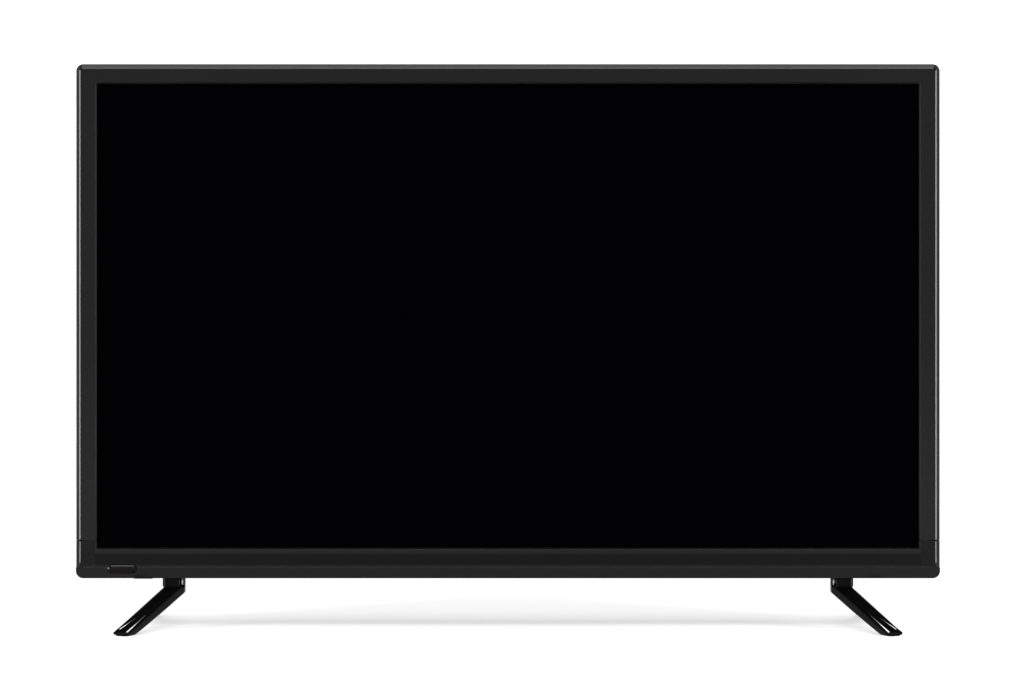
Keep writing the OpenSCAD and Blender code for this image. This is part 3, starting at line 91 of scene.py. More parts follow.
# Floor and backdrop
# One sheet of white paper: flat under the set, curved up behind it, as on a studio table.
# What the camera and the reflections see of it is paper white, and the set's shadow stays on it.
def linear(hex_colour):
    """Turns an sRGB hex value into the linear colour that a shader socket takes."""
    shares = [int(hex_colour[i:i + 2], 16) / 255 for i in (1, 3, 5)]
    return [s / 12.92 if s <= 0.04045 else ((s + 0.055) / 1.055) ** 2.4 for s in shares] + [1.0]


def add(tree, kind, sockets=None, links=None, **settings):
    """Adds a node with its settings, its socket values and the outputs that feed its sockets."""
    node = tree.nodes.new(kind)
    for name, value in settings.items():
        setattr(node, name, value)
    for name, value in (sockets or {}).items():
        node.inputs[name].default_value = value
    for name, output in (links or {}).items():
        tree.links.new(output, node.inputs[name])
    return node


def new_material(name):
    """A new material with no nodes yet, and its node tree."""
    material = bpy.data.materials.new(name)
    material.use_nodes = True
    material.node_tree.nodes.clear()
    return material, material.node_tree


def select_only(obj):
    """Selects one object and makes it active."""
    bpy.ops.object.select_all(action="DESELECT")
    obj.select_set(True)
    bpy.context.view_layer.objects.active = obj


PAPER_HALF_WIDTH = 5.0
PAPER_FRONT = 3.0
PAPER_BACK = 4.2
PAPER_HEIGHT = 4.0
PAPER_BEND = 1.2
PAPER_NEAR = 0.01
bpy.ops.object.select_all(action="DESELECT")
bpy.ops.mesh.primitive_plane_add(size=2)
paper = bpy.context.object
paper.name = "paper_sweep"
paper.scale = (PAPER_HALF_WIDTH, (PAPER_FRONT + PAPER_BACK) / 2, 1)
paper.location = (0, (PAPER_BACK - PAPER_FRONT) / 2, 0)
bpy.ops.object.transform_apply(location=True, scale=True)
bpy.ops.object.mode_set(mode="EDIT")
bpy.ops.mesh.select_mode(type="EDGE")
bpy.ops.mesh.select_all(action="DESELECT")
shape = bmesh.from_edit_mesh(paper.data)
for edge in shape.edges:
    edge.select_set(all(v.co.y > PAPER_BACK - PAPER_NEAR for v in edge.verts))
bmesh.update_edit_mesh(paper.data)
bpy.ops.mesh.extrude_region_move(TRANSFORM_OT_translate={"value": (0, 0, PAPER_HEIGHT)})
bpy.ops.mesh.select_all(action="DESELECT")
shape = bmesh.from_edit_mesh(paper.data)
for edge in shape.edges:
    edge.select_set(all(v.co.y > PAPER_BACK - PAPER_NEAR and v.co.z < PAPER_NEAR for v in edge.verts))
bmesh.update_edit_mesh(paper.data)
bpy.ops.mesh.bevel(offset=PAPER_BEND, segments=16, profile=0.5)
bpy.ops.object.mode_set(mode="OBJECT")
bpy.ops.object.shade_smooth()

# White paper, lit by the lamps and topped up to white for what looks at it. The top-up is less round
# the set, where the shadow lies, and full further away.
SHADOW_REACH = 0.6
WHITE_REACH = 1.6
SHADOW_LIFT = 0.4
FULL_LIFT = 0.85
paper_white, tree = new_material("white_paper")
place = add(tree, "ShaderNodeTexCoord")
matt = add(tree, "ShaderNodeBsdfDiffuse", {"Color": linear("#c4c4c4")})
path = add(tree, "ShaderNodeLightPath")
seen = add(tree, "ShaderNodeMath",
           links={0: path.outputs["Is Camera Ray"], 1: path.outputs["Is Glossy Ray"]}, operation="MAXIMUM")
seen = add(tree, "ShaderNodeMath", links={0: seen.outputs[0], 1: path.outputs["Is Transmission Ray"]},
           operation="MAXIMUM")
away = add(tree, "ShaderNodeVectorMath", links={0: place.outputs["Object"]}, operation="LENGTH")
top_up = add(tree, "ShaderNodeMapRange",
             {"From Min": SHADOW_REACH, "From Max": WHITE_REACH, "To Min": SHADOW_LIFT, "To Max": FULL_LIFT},
             {"Value": away.outputs["Value"]})
lift = add(tree, "ShaderNodeMath", links={0: seen.outputs[0], 1: top_up.outputs[0]},
           operation="MULTIPLY")
glow = add(tree, "ShaderNodeEmission", {"Color": linear("#ffffff")}, {"Strength": lift.outputs[0]})
both = add(tree, "ShaderNodeAddShader", links={0: matt.outputs[0], 1: glow.outputs[0]})
add(tree, "ShaderNodeOutputMaterial", links={"Surface": both.outputs[0]})
paper.data.materials.append(paper_white)

# Lamps and the room
# Two tall soft boxes stand beside the set and a wide one hangs over it. Two upright narrow strips stand
# close to its sides, and two long ones hang high in front. Each is a sheet of even light. The room is white.
ROOM_WHITE = "#ffffff"
room = bpy.data.worlds.new("room")
bpy.context.scene.world = room
room.use_nodes = True
room.node_tree.nodes.clear()
walls = add(room.node_tree, "ShaderNodeBackground", {"Color": linear(ROOM_WHITE), "Strength": 1.0})
add(room.node_tree, "ShaderNodeOutputWorld", links={"Surface": walls.outputs[0]})


def soft_box(name, place, target, width, height, radiance):
    """An area lamp of that size, turned to its target, as bright all over as its radiance says."""
    data = bpy.data.lights.new(name, "AREA")
    data.shape = "RECTANGLE"
    data.size = width
    data.size_y = height
    data.energy = radiance * math.pi * width * height
    lamp = bpy.data.objects.new(name, data)
    lamp.visible_camera = False
    lamp.location = place
    lamp.rotation_euler = (Vector(target) - Vector(place)).to_track_quat("-Z", "Y").to_euler()
    bpy.context.scene.collection.objects.link(lamp)


# Each lamp's place, target, width, height and radiance
for side, name in ((-1, "left"), (1, "right")):
    soft_box(name + "_box", (side * 1.9, 0.25, 0.75), (0, 0.0, 0.3), 0.8, 1.6, 1.1)
    soft_box(name + "_strip", (side * 0.918, -0.46, 0.282), (side * 0.364, -0.032, 0.282),
             0.08, 0.56, 40.0)
soft_box("top_box", (0, -0.12, 2.0), (0, 0, 0.25), 1.8, 0.5, 3.8)
soft_box("upper_strip", (0, -1.3, 1.76), (0, 0, 0.48), 1.8, 0.12, 18.0)
soft_box("lower_strip", (0, -1.6, 1.44), (0, 0, 0.07), 1.6, 0.12, 18.0)


# Light unit
# A galvanised steel pan holds aluminium light bars with small lenses, a white sheet round them,
# a thick diffuser plate on small posts, and two optical films. Nothing of it shows on a closed set.
RELIEF_DEPTH = 0.0001
GRAIN_SPREAD = 0.25
DRIFT_MM = 25
CRYSTAL_MM = 7
RIB_MM = 2


def metal(name, colour, roughness, grain_mm, stretch=(1, 1, 1), bump=0.1):
    """Plated, cast or drawn metal: the grain varies its gloss and is pulled out along the drawing
    direction."""
    material, tree = new_material(name)
    place = add(tree, "ShaderNodeTexCoord")
    turned = add(tree, "ShaderNodeMapping", {"Scale": stretch}, {"Vector": place.outputs["Object"]})
    grain = add(tree, "ShaderNodeTexNoise", {"Scale": 1000 / grain_mm, "Detail": 4.0},
                {"Vector": turned.outputs[0]})
    gloss = add(tree, "ShaderNodeMapRange",
                {"To Min": roughness * (1 - GRAIN_SPREAD), "To Max": roughness * (1 + GRAIN_SPREAD)},
                {"Value": grain.outputs["Fac"]})
    relief = add(tree, "ShaderNodeBump", {"Strength": bump, "Distance": RELIEF_DEPTH},
                 {"Height": grain.outputs["Fac"]})
    shader = add(tree, "ShaderNodeBsdfPrincipled", {"Base Color": linear(colour), "Metallic": 1.0},
                 {"Roughness": gloss.outputs[0], "Normal": relief.outputs[0]})
    add(tree, "ShaderNodeOutputMaterial", links={"Surface": shader.outputs[0]})
    return material


def plastic(name, colour, roughness, grain_mm, bump, ior=1.5, tint=0.12):
    """Moulded plastic: a grain of that size roughens it, and colour and gloss drift a little over some
    centimetres, by the share that tint gives."""
    material, tree = new_material(name)
    place = add(tree, "ShaderNodeTexCoord")
    grain = add(tree, "ShaderNodeTexNoise", {"Scale": 1000 / grain_mm, "Detail": 3.0},
                {"Vector": place.outputs["Object"]})
    drift = add(tree, "ShaderNodeTexNoise", {"Scale": 1000 / DRIFT_MM, "Detail": 2.0},
                {"Vector": place.outputs["Object"]})
    dark = [c * (1 - tint) for c in linear(colour)[:3]] + [1.0]
    light = [c * (1 + tint) for c in linear(colour)[:3]] + [1.0]
    shade = add(tree, "ShaderNodeMix", {6: dark, 7: light}, {0: drift.outputs["Fac"]}, data_type="RGBA")
    gloss = add(tree, "ShaderNodeMapRange",
                {"To Min": roughness * (1 - tint), "To Max": roughness * (1 + tint)},
                {"Value": drift.outputs["Fac"]})
    relief = add(tree, "ShaderNodeBump", {"Strength": bump, "Distance": RELIEF_DEPTH},
                 {"Height": grain.outputs["Fac"]})
    shader = add(tree, "ShaderNodeBsdfPrincipled", {"IOR": ior},
                 {"Base Color": shade.outputs[2], "Roughness": gloss.outputs[0],
                  "Normal": relief.outputs[0]})
    add(tree, "ShaderNodeOutputMaterial", links={"Surface": shader.outputs[0]})
    return material


def paint(material, *nodes):
    """Gives CAD nodes that stay as they are their finish."""
    for node in nodes:
        data = frame["nodes"][node].data
        data.materials.clear()
        data.materials.append(material)


# Galvanised sheet: zinc crystals some millimetres across
pan_zinc, tree = new_material("galvanised_sheet")
place = add(tree, "ShaderNodeTexCoord")
crystal = add(tree, "ShaderNodeTexVoronoi", {"Scale": 1000 / CRYSTAL_MM},
              {"Vector": place.outputs["Object"]})
level = add(tree, "ShaderNodeSeparateColor", links={"Color": crystal.outputs["Color"]})
shade = add(tree, "ShaderNodeMix", {6: linear("#8d9296"), 7: linear("#a9aeb2")}, {0: level.outputs[0]},
            data_type="RGBA")
gloss = add(tree, "ShaderNodeMapRange", {"To Min": 0.32, "To Max": 0.5}, {"Value": level.outputs[1]})
shader = add(tree, "ShaderNodeBsdfPrincipled", {"Metallic": 1.0},
             {"Base Color": shade.outputs[2], "Roughness": gloss.outputs[0]})
add(tree, "ShaderNodeOutputMaterial", links={"Surface": shader.outputs[0]})
paint(pan_zinc, "back_pan", "foot_brackets")

# White polyester sheet and opal plate: matt, with the faint ribs of the prism film
optical_white, tree = new_material("white_optical_sheet")
place = add(tree, "ShaderNodeTexCoord")
ribs = add(tree, "ShaderNodeTexWave", {"Scale": 1000 / RIB_MM / math.pi},
           {"Vector": place.outputs["Object"]}, bands_direction="Z")
relief = add(tree, "ShaderNodeBump", {"Strength": 0.2, "Distance": RELIEF_DEPTH},
             {"Height": ribs.outputs["Fac"]})
shader = add(tree, "ShaderNodeBsdfPrincipled",
             {"Base Color": linear("#eeeeea"), "Roughness": 0.5, "IOR": 1.58}, {"Normal": relief.outputs[0]})
add(tree, "ShaderNodeOutputMaterial", links={"Surface": shader.outputs[0]})
paint(optical_white, "reflector_sheet", "diffuser_plate", "diffuser_film", "prism_film", "diffuser_posts",
      "led_lenses")
paint(metal("drawn_aluminium_bar", "#c9ccd0", 0.4, 1.0, stretch=(0.05, 1, 1)), "led_bars")

# Mid frame
# One moulding of dark grey polycarbonate.
# It clips round the light unit and carries the glass on its shelf.
paint(plastic("grey_polycarbonate", "#303030", 0.5, 0.8, 0.1, ior=1.58), "mid_frame")


# Screen
# Liquid crystal cell: two sheets of glass with a dark polariser. Its outer side has a fine anti-glare coat,
# so it hardly mirrors the room. It lies on the mid frame's shelf, behind the surround.
MERGE_GAP = 0.00001
FLAT_ANGLE = 0.5


def dressed_copy(node, edge, segments=2, angle=25, facets=(), cut=None):
    """A copy of a CAD node stands for it: its triangles are joined into faces and its edges are rounded,
    inside the node's box. Each facet first draws off the edges that its choice picks, by its width.
    A cut at a height divides the faces there, so that a facet can end at it."""
    piece = bpy.data.objects.new(node + "_dressed", frame["nodes"][node].data.copy())
    bpy.context.scene.collection.objects.link(piece)
    piece.data.materials.clear()
    select_only(piece)
    bpy.ops.object.mode_set(mode="EDIT")
    bpy.ops.mesh.select_all(action="SELECT")
    bpy.ops.mesh.remove_doubles(threshold=MERGE_GAP)
    bpy.ops.mesh.dissolve_degenerate(threshold=MERGE_GAP)
    bpy.ops.mesh.dissolve_limited(angle_limit=math.radians(FLAT_ANGLE))
    if cut is not None:
        shape = bmesh.from_edit_mesh(piece.data)
        everything = shape.verts[:] + shape.edges[:] + shape.faces[:]
        bmesh.ops.bisect_plane(shape, geom=everything, plane_co=(0, 0, cut), plane_no=(0, 0, 1))
        bmesh.update_edit_mesh(piece.data)
    for width, picks in facets:
        shape = bmesh.from_edit_mesh(piece.data)
        for edge_line in shape.edges:
            edge_line.select_set(False)
        for edge_line in shape.edges:
            if picks(edge_line):
                edge_line.select_set(True)
        bmesh.update_edit_mesh(piece.data)
        bpy.ops.mesh.bevel(offset=width, segments=1, clamp_overlap=False)
    bpy.ops.object.mode_set(mode="OBJECT")
    round_edges(piece, edge, segments, angle)
    low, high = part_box(node)
    for corner in piece.data.vertices:
        corner.co = [min(max(c, least), most) for c, least, most in zip(corner.co, low, high)]
    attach(piece, frame["nodes"][node]["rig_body"])
    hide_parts(node)
    return piece


def round_edges(piece, edge, segments, angle):
    """Rounds the sharp edges and keeps the flats flat in the shading."""
    select_only(piece)
    bpy.ops.object.shade_smooth()
    bevel = piece.modifiers.new("rounding", "BEVEL")
    bevel.width = edge
    bevel.segments = segments
    bevel.limit_method = "ANGLE"
    bevel.angle_limit = math.radians(angle)
    bevel.use_clamp_overlap = False
    flats = piece.modifiers.new("flats", "WEIGHTED_NORMAL")
    flats.weight = 100
    for name in ("rounding", "flats"):
        bpy.ops.object.modifier_apply(modifier=name)


screen = dressed_copy("lcd_panel", 0.0002)
SCREEN_BLACK = "#010102"
FROST_MM = 0.8
polariser, tree = new_material("anti_glare_polariser")
place = add(tree, "ShaderNodeTexCoord")
frost = add(tree, "ShaderNodeTexNoise", {"Scale": 1000 / FROST_MM, "Detail": 2.0},
            {"Vector": place.outputs["Object"]})
relief = add(tree, "ShaderNodeBump", {"Strength": 0.05, "Distance": RELIEF_DEPTH},
             {"Height": frost.outputs["Fac"]})
shader = add(tree, "ShaderNodeBsdfPrincipled",
             {"Base Color": linear(SCREEN_BLACK), "Roughness": 0.25, "IOR": 1.03},
             {"Normal": relief.outputs[0]})
add(tree, "ShaderNodeOutputMaterial", links={"Surface": shader.outputs[0]})
screen.data.materials.append(polariser)


# Panel driver board, tapes and flat cable
# The source board is narrow FR4 in the chin. Amber film tapes with fine copper lines join it to the glass,
# and a white flat cable with printed conductors joins it to the main board.
PAD_MM = 22
PAD_TRACKS = 11.0
TRACK_SHARE = 0.45


def striped(name, ground, stripe, pitch_mm, share, axis, roughness):
    """Sheet with parallel lines: bands of a pitch along one axis, with the lines taking their share of it."""
    material, tree = new_material(name)
    place = add(tree, "ShaderNodeTexCoord")
    parts = add(tree, "ShaderNodeSeparateXYZ", links={0: place.outputs["Object"]})
    turns = add(tree, "ShaderNodeMath", {1: 1000 / pitch_mm}, {0: parts.outputs[axis]}, operation="MULTIPLY")
    along = add(tree, "ShaderNodeMath", links={0: turns.outputs[0]}, operation="FRACT")
    line = add(tree, "ShaderNodeMath", {1: share}, {0: along.outputs[0]}, operation="LESS_THAN")
    shade = add(tree, "ShaderNodeMix", {6: linear(ground), 7: linear(stripe)}, {0: line.outputs[0]},
                data_type="RGBA")
    relief = add(tree, "ShaderNodeBump", {"Strength": 0.3, "Distance": RELIEF_DEPTH},
                 {"Height": line.outputs[0]})
    shader = add(tree, "ShaderNodeBsdfPrincipled", {"Roughness": roughness},
                 {"Base Color": shade.outputs[2], "Normal": relief.outputs[0]})
    add(tree, "ShaderNodeOutputMaterial", links={"Surface": shader.outputs[0]})
    return material


def circuit_board(name, laminate, copper, flat_axis):
    """Etched laminate under a solder mask: nested square tracks, drawn 1 mm wide so that they show."""
    material, tree = new_material(name)
    place = add(tree, "ShaderNodeTexCoord")
    flat = [0.0 if axis == flat_axis else 1.0 for axis in range(3)]
    sheet = add(tree, "ShaderNodeMapping", {"Scale": flat}, {"Vector": place.outputs["Object"]})
    pads = add(tree, "ShaderNodeTexVoronoi", {"Scale": 1000 / PAD_MM}, {"Vector": sheet.outputs[0]},
               distance="CHEBYCHEV")
    rings = add(tree, "ShaderNodeMath", {1: PAD_TRACKS}, {0: pads.outputs["Distance"]},
                operation="MULTIPLY")
    ring = add(tree, "ShaderNodeMath", links={0: rings.outputs[0]}, operation="FRACT")
    track = add(tree, "ShaderNodeMath", {1: TRACK_SHARE}, {0: ring.outputs[0]}, operation="LESS_THAN")
    shade = add(tree, "ShaderNodeMix", {6: linear(laminate), 7: linear(copper)}, {0: track.outputs[0]},
                data_type="RGBA")
    relief = add(tree, "ShaderNodeBump", {"Strength": 0.4, "Distance": RELIEF_DEPTH},
                 {"Height": track.outputs[0]})
    shader = add(tree, "ShaderNodeBsdfPrincipled", {"Roughness": 0.3, "IOR": 1.52},
                 {"Base Color": shade.outputs[2], "Normal": relief.outputs[0]})
    add(tree, "ShaderNodeOutputMaterial", links={"Surface": shader.outputs[0]})
    return material


def finish_faces(piece, materials, choose):
    """Gives each face the material whose number the choice returns for its middle and its normal."""
    for material in materials:
        piece.data.materials.append(material)
    for face in piece.data.polygons:
        face.material_index = choose(face.center, face.normal)


ALONG_X, ALONG_Y = 0, 1
green_mask = circuit_board("green_solder_mask", "#123f27", "#1f6138", ALONG_Y)
source_board = dressed_copy("source_board", 0.0001)
source_board.data.materials.append(green_mask)
tapes = dressed_copy("cof_tapes", 0.00004)
tapes.data.materials.append(striped("amber_polyimide_tape", "#a9681c", "#c98d43", 1.2, 0.5, ALONG_X, 0.3))
flat_cable = dressed_copy("lvds_cable", 0.00008)
flat_cable.data.materials.append(striped("flat_cable", "#e4e2da", "#b9b4a4", 1.0, 0.4, ALONG_X, 0.45))

# Boards in the bulge
# The main, infrared and key boards are green FR4, and the power board is brown paper laminate.
# Screws hold each of them. The chips, the switches and the sensor are black epoxy.
CHIP_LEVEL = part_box("power_board")[1].y + 0.0001
epoxy_chip = plastic("black_epoxy_chip", "#17181a", 0.55, 0.5, 0.2)
main_board = dressed_copy("main_board", 0.0001)
finish_faces(main_board, [green_mask, epoxy_chip], lambda middle, normal: int(middle.y > CHIP_LEVEL))
power_board = dressed_copy("power_board", 0.0001)
power_board.data.materials.append(circuit_board("brown_paper_laminate", "#6b4a24", "#8a6636", ALONG_Y))
ir_board = dressed_copy("ir_board", 0.0001)
ir_board.data.materials.append(green_mask)
key_board = dressed_copy("key_board", 0.0001)
key_board.data.materials.append(circuit_board("key_board_mask", "#123f27", "#1f6138", ALONG_X))
for node in ("key_switches", "ir_sensor"):
    part = dressed_copy(node, 0.00015)
    part.data.materials.append(epoxy_chip)

# Heat sinks, tuner can, transformer and capacitors
# Extruded aluminium fins stand on the hot chips, and a tinned can with soldered seams shields the tuner.
# The transformer is a ferrite core on a bobbin, and the capacitors are aluminium cans in shrunk blue sleeves.
for node in ("chip_heatsink", "power_heatsink"):
    sink = dressed_copy(node, 0.0002)
    fins = metal("extruded_aluminium_" + node, "#b9bdc1", 0.38, 0.8, stretch=(1, 1, 0.04))
    sink.data.materials.append(fins)
tinned = metal("tinned_steel", "#b7b9ba", 0.3, 5.0)
can = dressed_copy("tuner_can", 0.0004)
can.data.materials.append(tinned)
transformer = dressed_copy("power_transformer", 0.0006, segments=3)
core_low, core_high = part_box("power_transformer")
core_middle = (core_low.z + core_high.z) / 2
WINDING_SHARE = 0.3
winding_half = (core_high.z - core_low.z) * WINDING_SHARE
winding_tape = striped("yellow_winding_tape", "#b8922a", "#a9841f", 3.0, 0.12, ALONG_Y, 0.35)
ferrite = plastic("sintered_ferrite", "#242629", 0.6, 0.7, 0.4)
finish_faces(transformer, [ferrite, winding_tape],
             lambda middle, normal: int(abs(middle.z - core_middle) < winding_half and abs(normal.z) < 0.5))
cans = dressed_copy("power_capacitors", 0.0006, segments=3)
sleeve = plastic("blue_shrink_sleeve", "#16263f", 0.3, 2.0, 0.05)
can_end = metal("drawn_can_end", "#c4c7ca", 0.3, 1.0)
CAN_END_DEPTH = 0.0005
can_end_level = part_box("power_capacitors")[1].y - CAN_END_DEPTH
finish_faces(cans, [sleeve, can_end],
             lambda middle, normal: int(normal.y > 0.9 and middle.y > can_end_level))

# Sockets on the left side of the bulge and the mains inlet on the right
# Nickel-plated shells for the aerial, picture and data plugs, coloured barrels for the three sound and
# picture leads, and black moulded bodies for the headphones and the mains lead. The boards carry them.
nickel = metal("nickel_plate", "#c9c6bf", 0.22, 1.5)
for node, edge in (("antenna_socket", 0.0004), ("hdmi_sockets", 0.0001), ("usb_socket", 0.0001)):
    socket = dressed_copy(node, edge, segments=3)
    socket.data.materials.append(nickel)
moulded_black = plastic("glass_filled_polyester", "#151515", 0.45, 0.6, 0.25, ior=1.57)
jack = dressed_copy("headphone_jack", 0.0002)
jack.data.materials.append(moulded_black)
inlet_low, inlet_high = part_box("ac_inlet")
inlet_middle = (inlet_low + inlet_high) / 2
PIN_OFFSET = 0.0043
PIN_REACH = 0.0016


def is_pin(middle, normal):
    """Tells the inlet's two pins from its body by their distance to the pins' own axes."""
    aside = abs(middle.z - inlet_middle.z) - PIN_OFFSET
    return int(math.hypot(aside, middle.y - inlet_middle.y) < PIN_REACH)


inlet = dressed_copy("ac_inlet", 0.0002)
finish_faces(inlet, [moulded_black, nickel], is_pin)
leads = dressed_copy("av_sockets", 0.0003, segments=3)
leads_low, leads_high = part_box("av_sockets")
third = (leads_high.z - leads_low.z) / 3
LEAD_COLOURS = (("red_barrel", "#b3201c"), ("white_barrel", "#d9d9d4"), ("yellow_barrel", "#d9b016"))
barrels = [plastic(name, colour, 0.35, 0.8, 0.1) for name, colour in LEAD_COLOURS]
finish_faces(leads, barrels, lambda middle, normal: min(2, int((middle.z - leads_low.z) / third)))

# Wiring
# Bundles of thin cream-coloured stranded leads run from board to board and to the speakers.
# Their plugs stand on the boards.
looms = dressed_copy("wire_looms", 0.0003)
looms.data.materials.append(striped("pvc_leads", "#d8d2c0", "#a9a18c", 1.5, 0.25, ALONG_Y, 0.45))

# Speakers
# Two glued ABS boxes stand in the bottom of the bulge on rubber grommets and speak downwards.
# Each has a pressed steel basket, a ferrite ring, a rubber ring and a pressed paper cone that moves.
box_abs = plastic("speaker_box_abs", "#151515", 0.5, 0.9, 0.35)
for node in ("speaker_box_left", "speaker_box_right"):
    box = dressed_copy(node, 0.0006, segments=3)
    box.data.materials.append(box_abs)
baskets = dressed_copy("speaker_baskets", 0.0002)
baskets.data.materials.append(metal("blackened_steel", "#3a3b3d", 0.45, 1.2))
magnets = dressed_copy("speaker_magnets", 0.0004)
magnets.data.materials.append(ferrite)
black_rubber = plastic("black_rubber", "#131313", 0.75, 0.6, 0.3, ior=1.52)
for node in ("speaker_surrounds", "speaker_grommets"):
    roll = dressed_copy(node, 0.0003, segments=3)
    roll.data.materials.append(black_rubber)
FIBRE_MM = 0.7
cone_paper, tree = new_material("pressed_cone_paper")
place = add(tree, "ShaderNodeTexCoord")
fibre = add(tree, "ShaderNodeTexNoise", {"Scale": 1000 / FIBRE_MM, "Detail": 6.0, "Distortion": 1.5},
            {"Vector": place.outputs["Object"]})
shade = add(tree, "ShaderNodeMix", {6: linear("#1d1c1a"), 7: linear("#35322d")}, {0: fibre.outputs["Fac"]},
            data_type="RGBA")
relief = add(tree, "ShaderNodeBump", {"Strength": 0.5, "Distance": RELIEF_DEPTH},
             {"Height": fibre.outputs["Fac"]})
shader = add(tree, "ShaderNodeBsdfPrincipled", {"Roughness": 0.85},
             {"Base Color": shade.outputs[2], "Normal": relief.outputs[0]})
add(tree, "ShaderNodeOutputMaterial", links={"Surface": shader.outputs[0]})
for node in ("left_cone", "right_cone"):
    cone = dressed_copy(node, 0.0002)
    cone.data.materials.append(cone_paper)


# Screws
# Cold-headed steel screws with a cross recess: zinc-plated ones hold the frame, the boards and the feet,
# and blackened ones hold the rear cover. Each head's rim is rounded and the recess tapers inwards.
def solids_of(node):
    """The corners of each separate solid of a CAD node."""
    shape = bmesh.new()
    shape.from_mesh(frame["nodes"][node].data)
    bmesh.ops.remove_doubles(shape, verts=shape.verts, dist=MERGE_GAP)
    left = set(shape.verts)
    solids = []
    while left:
        reached = [left.pop()]
        for corner in reached:
            for edge in corner.link_edges:
                other = edge.other_vert(corner)
                if other in left:
                    left.remove(other)
                    reached.append(other)
        solids.append([corner.co.copy() for corner in reached])
    shape.free()
    return solids


def rod(radius, low, high, sides=32):
    """A round rod along Z between two heights, added by hand and made active."""
    bpy.ops.object.select_all(action="DESELECT")
    bpy.ops.mesh.primitive_cylinder_add(vertices=sides, radius=radius, depth=high - low,
                                        location=(0, 0, (low + high) / 2))
    bpy.ops.object.transform_apply(location=True)
    return bpy.context.object


HEAD_ROUNDING = 0.35
RECESS_REACH = 0.58
RECESS_WIDTH = 0.24
RECESS_DEPTH = 0.55
RECESS_TAPER = 0.6


def cross_screw(head_radius, head_height, shank_radius, length):
    """One screw along Z with the top of its head at zero: a rounded head, a cross recess and a shank."""
    head = rod(head_radius, -head_height, 0)
    bpy.ops.object.mode_set(mode="EDIT")
    shape = bmesh.from_edit_mesh(head.data)
    for edge in shape.edges:
        edge.select_set(all(v.co.z > -head_height / 2 for v in edge.verts))
    bmesh.update_edit_mesh(head.data)
    bpy.ops.mesh.bevel(offset=head_height * HEAD_ROUNDING, segments=4, profile=0.5)
    bpy.ops.object.mode_set(mode="OBJECT")
    for turn in (0, math.radians(90)):
        bpy.ops.object.select_all(action="DESELECT")
        bpy.ops.mesh.primitive_cube_add(size=1, location=(0, 0, 0), rotation=(0, 0, turn))
        cutter = bpy.context.object
        cutter.scale = (2 * RECESS_REACH * head_radius, RECESS_WIDTH * head_radius,
                        2 * RECESS_DEPTH * head_height)
        bpy.ops.object.transform_apply(rotation=True, scale=True)
        for corner in cutter.data.vertices:
            if corner.co.z < 0:
                corner.co.xy *= RECESS_TAPER
        cut = head.modifiers.new("recess", "BOOLEAN")
        cut.object = cutter
        cut.operation = "DIFFERENCE"
        cut.solver = "EXACT"
        select_only(head)
        bpy.ops.object.modifier_apply(modifier="recess")
        bpy.data.objects.remove(cutter)
    rod(shank_radius, -length, -head_height)
    head.select_set(True)
    bpy.context.view_layer.objects.active = head
    bpy.ops.object.join()
    return head


def screw_set(node, material):
    """Puts a cross-recess screw in the place of each solid of a CAD node, and joins them into one piece."""
    kinds = {}
    copies = []
    for corners in solids_of(node):
        low = Vector([min(c[i] for c in corners) for i in range(3)])
        high = Vector([max(c[i] for c in corners) for i in range(3)])
        size = high - low
        axis = min(range(3), key=lambda i: abs(size[(i + 1) % 3] - size[(i + 2) % 3]))
        across = [i for i in range(3) if i != axis]
        middle = (low + high) / 2

        def radius_at(level):
            """The solid's radius about its axis at that level."""
            return max(math.hypot(c[across[0]] - middle[across[0]], c[across[1]] - middle[across[1]])
                       for c in corners if abs(c[axis] - level) < MERGE_GAP)

        head_up = radius_at(high[axis]) > radius_at(low[axis])
        top, end = (high[axis], low[axis]) if head_up else (low[axis], high[axis])
        shank_radius = radius_at(end)
        levels = sorted({round(abs(c[axis] - top), 5) for c in corners})
        sizes = (round(radius_at(top), 5), levels[1], round(shank_radius, 5), round(size[axis], 5))
        if sizes not in kinds:
            kinds[sizes] = cross_screw(*sizes)
        copy = bpy.data.objects.new(node, kinds[sizes].data.copy())
        bpy.context.scene.collection.objects.link(copy)
        outward = Vector([0, 0, 0])
        outward[axis] = 1 if head_up else -1
        middle[axis] = top
        copy.rotation_euler = Vector((0, 0, 1)).rotation_difference(outward).to_euler()
        copy.location = middle
        copies.append(copy)
    for pattern in kinds.values():
        bpy.data.objects.remove(pattern)
    bpy.ops.object.select_all(action="DESELECT")
    for copy in copies:
        copy.select_set(True)
    piece = copies[0]
    bpy.context.view_layer.objects.active = piece
    bpy.ops.object.transform_apply(location=True, rotation=True)
    bpy.ops.object.join()
    piece.name = node + "_dressed"
    select_only(piece)
    bpy.ops.object.shade_smooth_by_angle(angle=math.radians(35))
    piece.data.materials.clear()
    piece.data.materials.append(material)
    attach(piece, frame["nodes"][node]["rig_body"])
    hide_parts(node)


zinc_plate = metal("zinc_plate", "#b4b7bb", 0.3, 0.8)
for node in ("frame_screws", "inner_screws", "foot_screws"):
    screw_set(node, zinc_plate)
screw_set("cover_screws", metal("blackened_screw_steel", "#2b2c2e", 0.35, 0.8))

# Wall mount pillars
# Four turned steel pillars stand on the pan and end just inside holes of the rear cover.
# Each has a hole for a mounting screw in its end.
pillars = dressed_copy("vesa_standoffs", 0.0003, segments=3)
pillars.data.materials.append(metal("turned_steel", "#a7abaf", 0.32, 0.6, stretch=(1, 0.1, 1)))

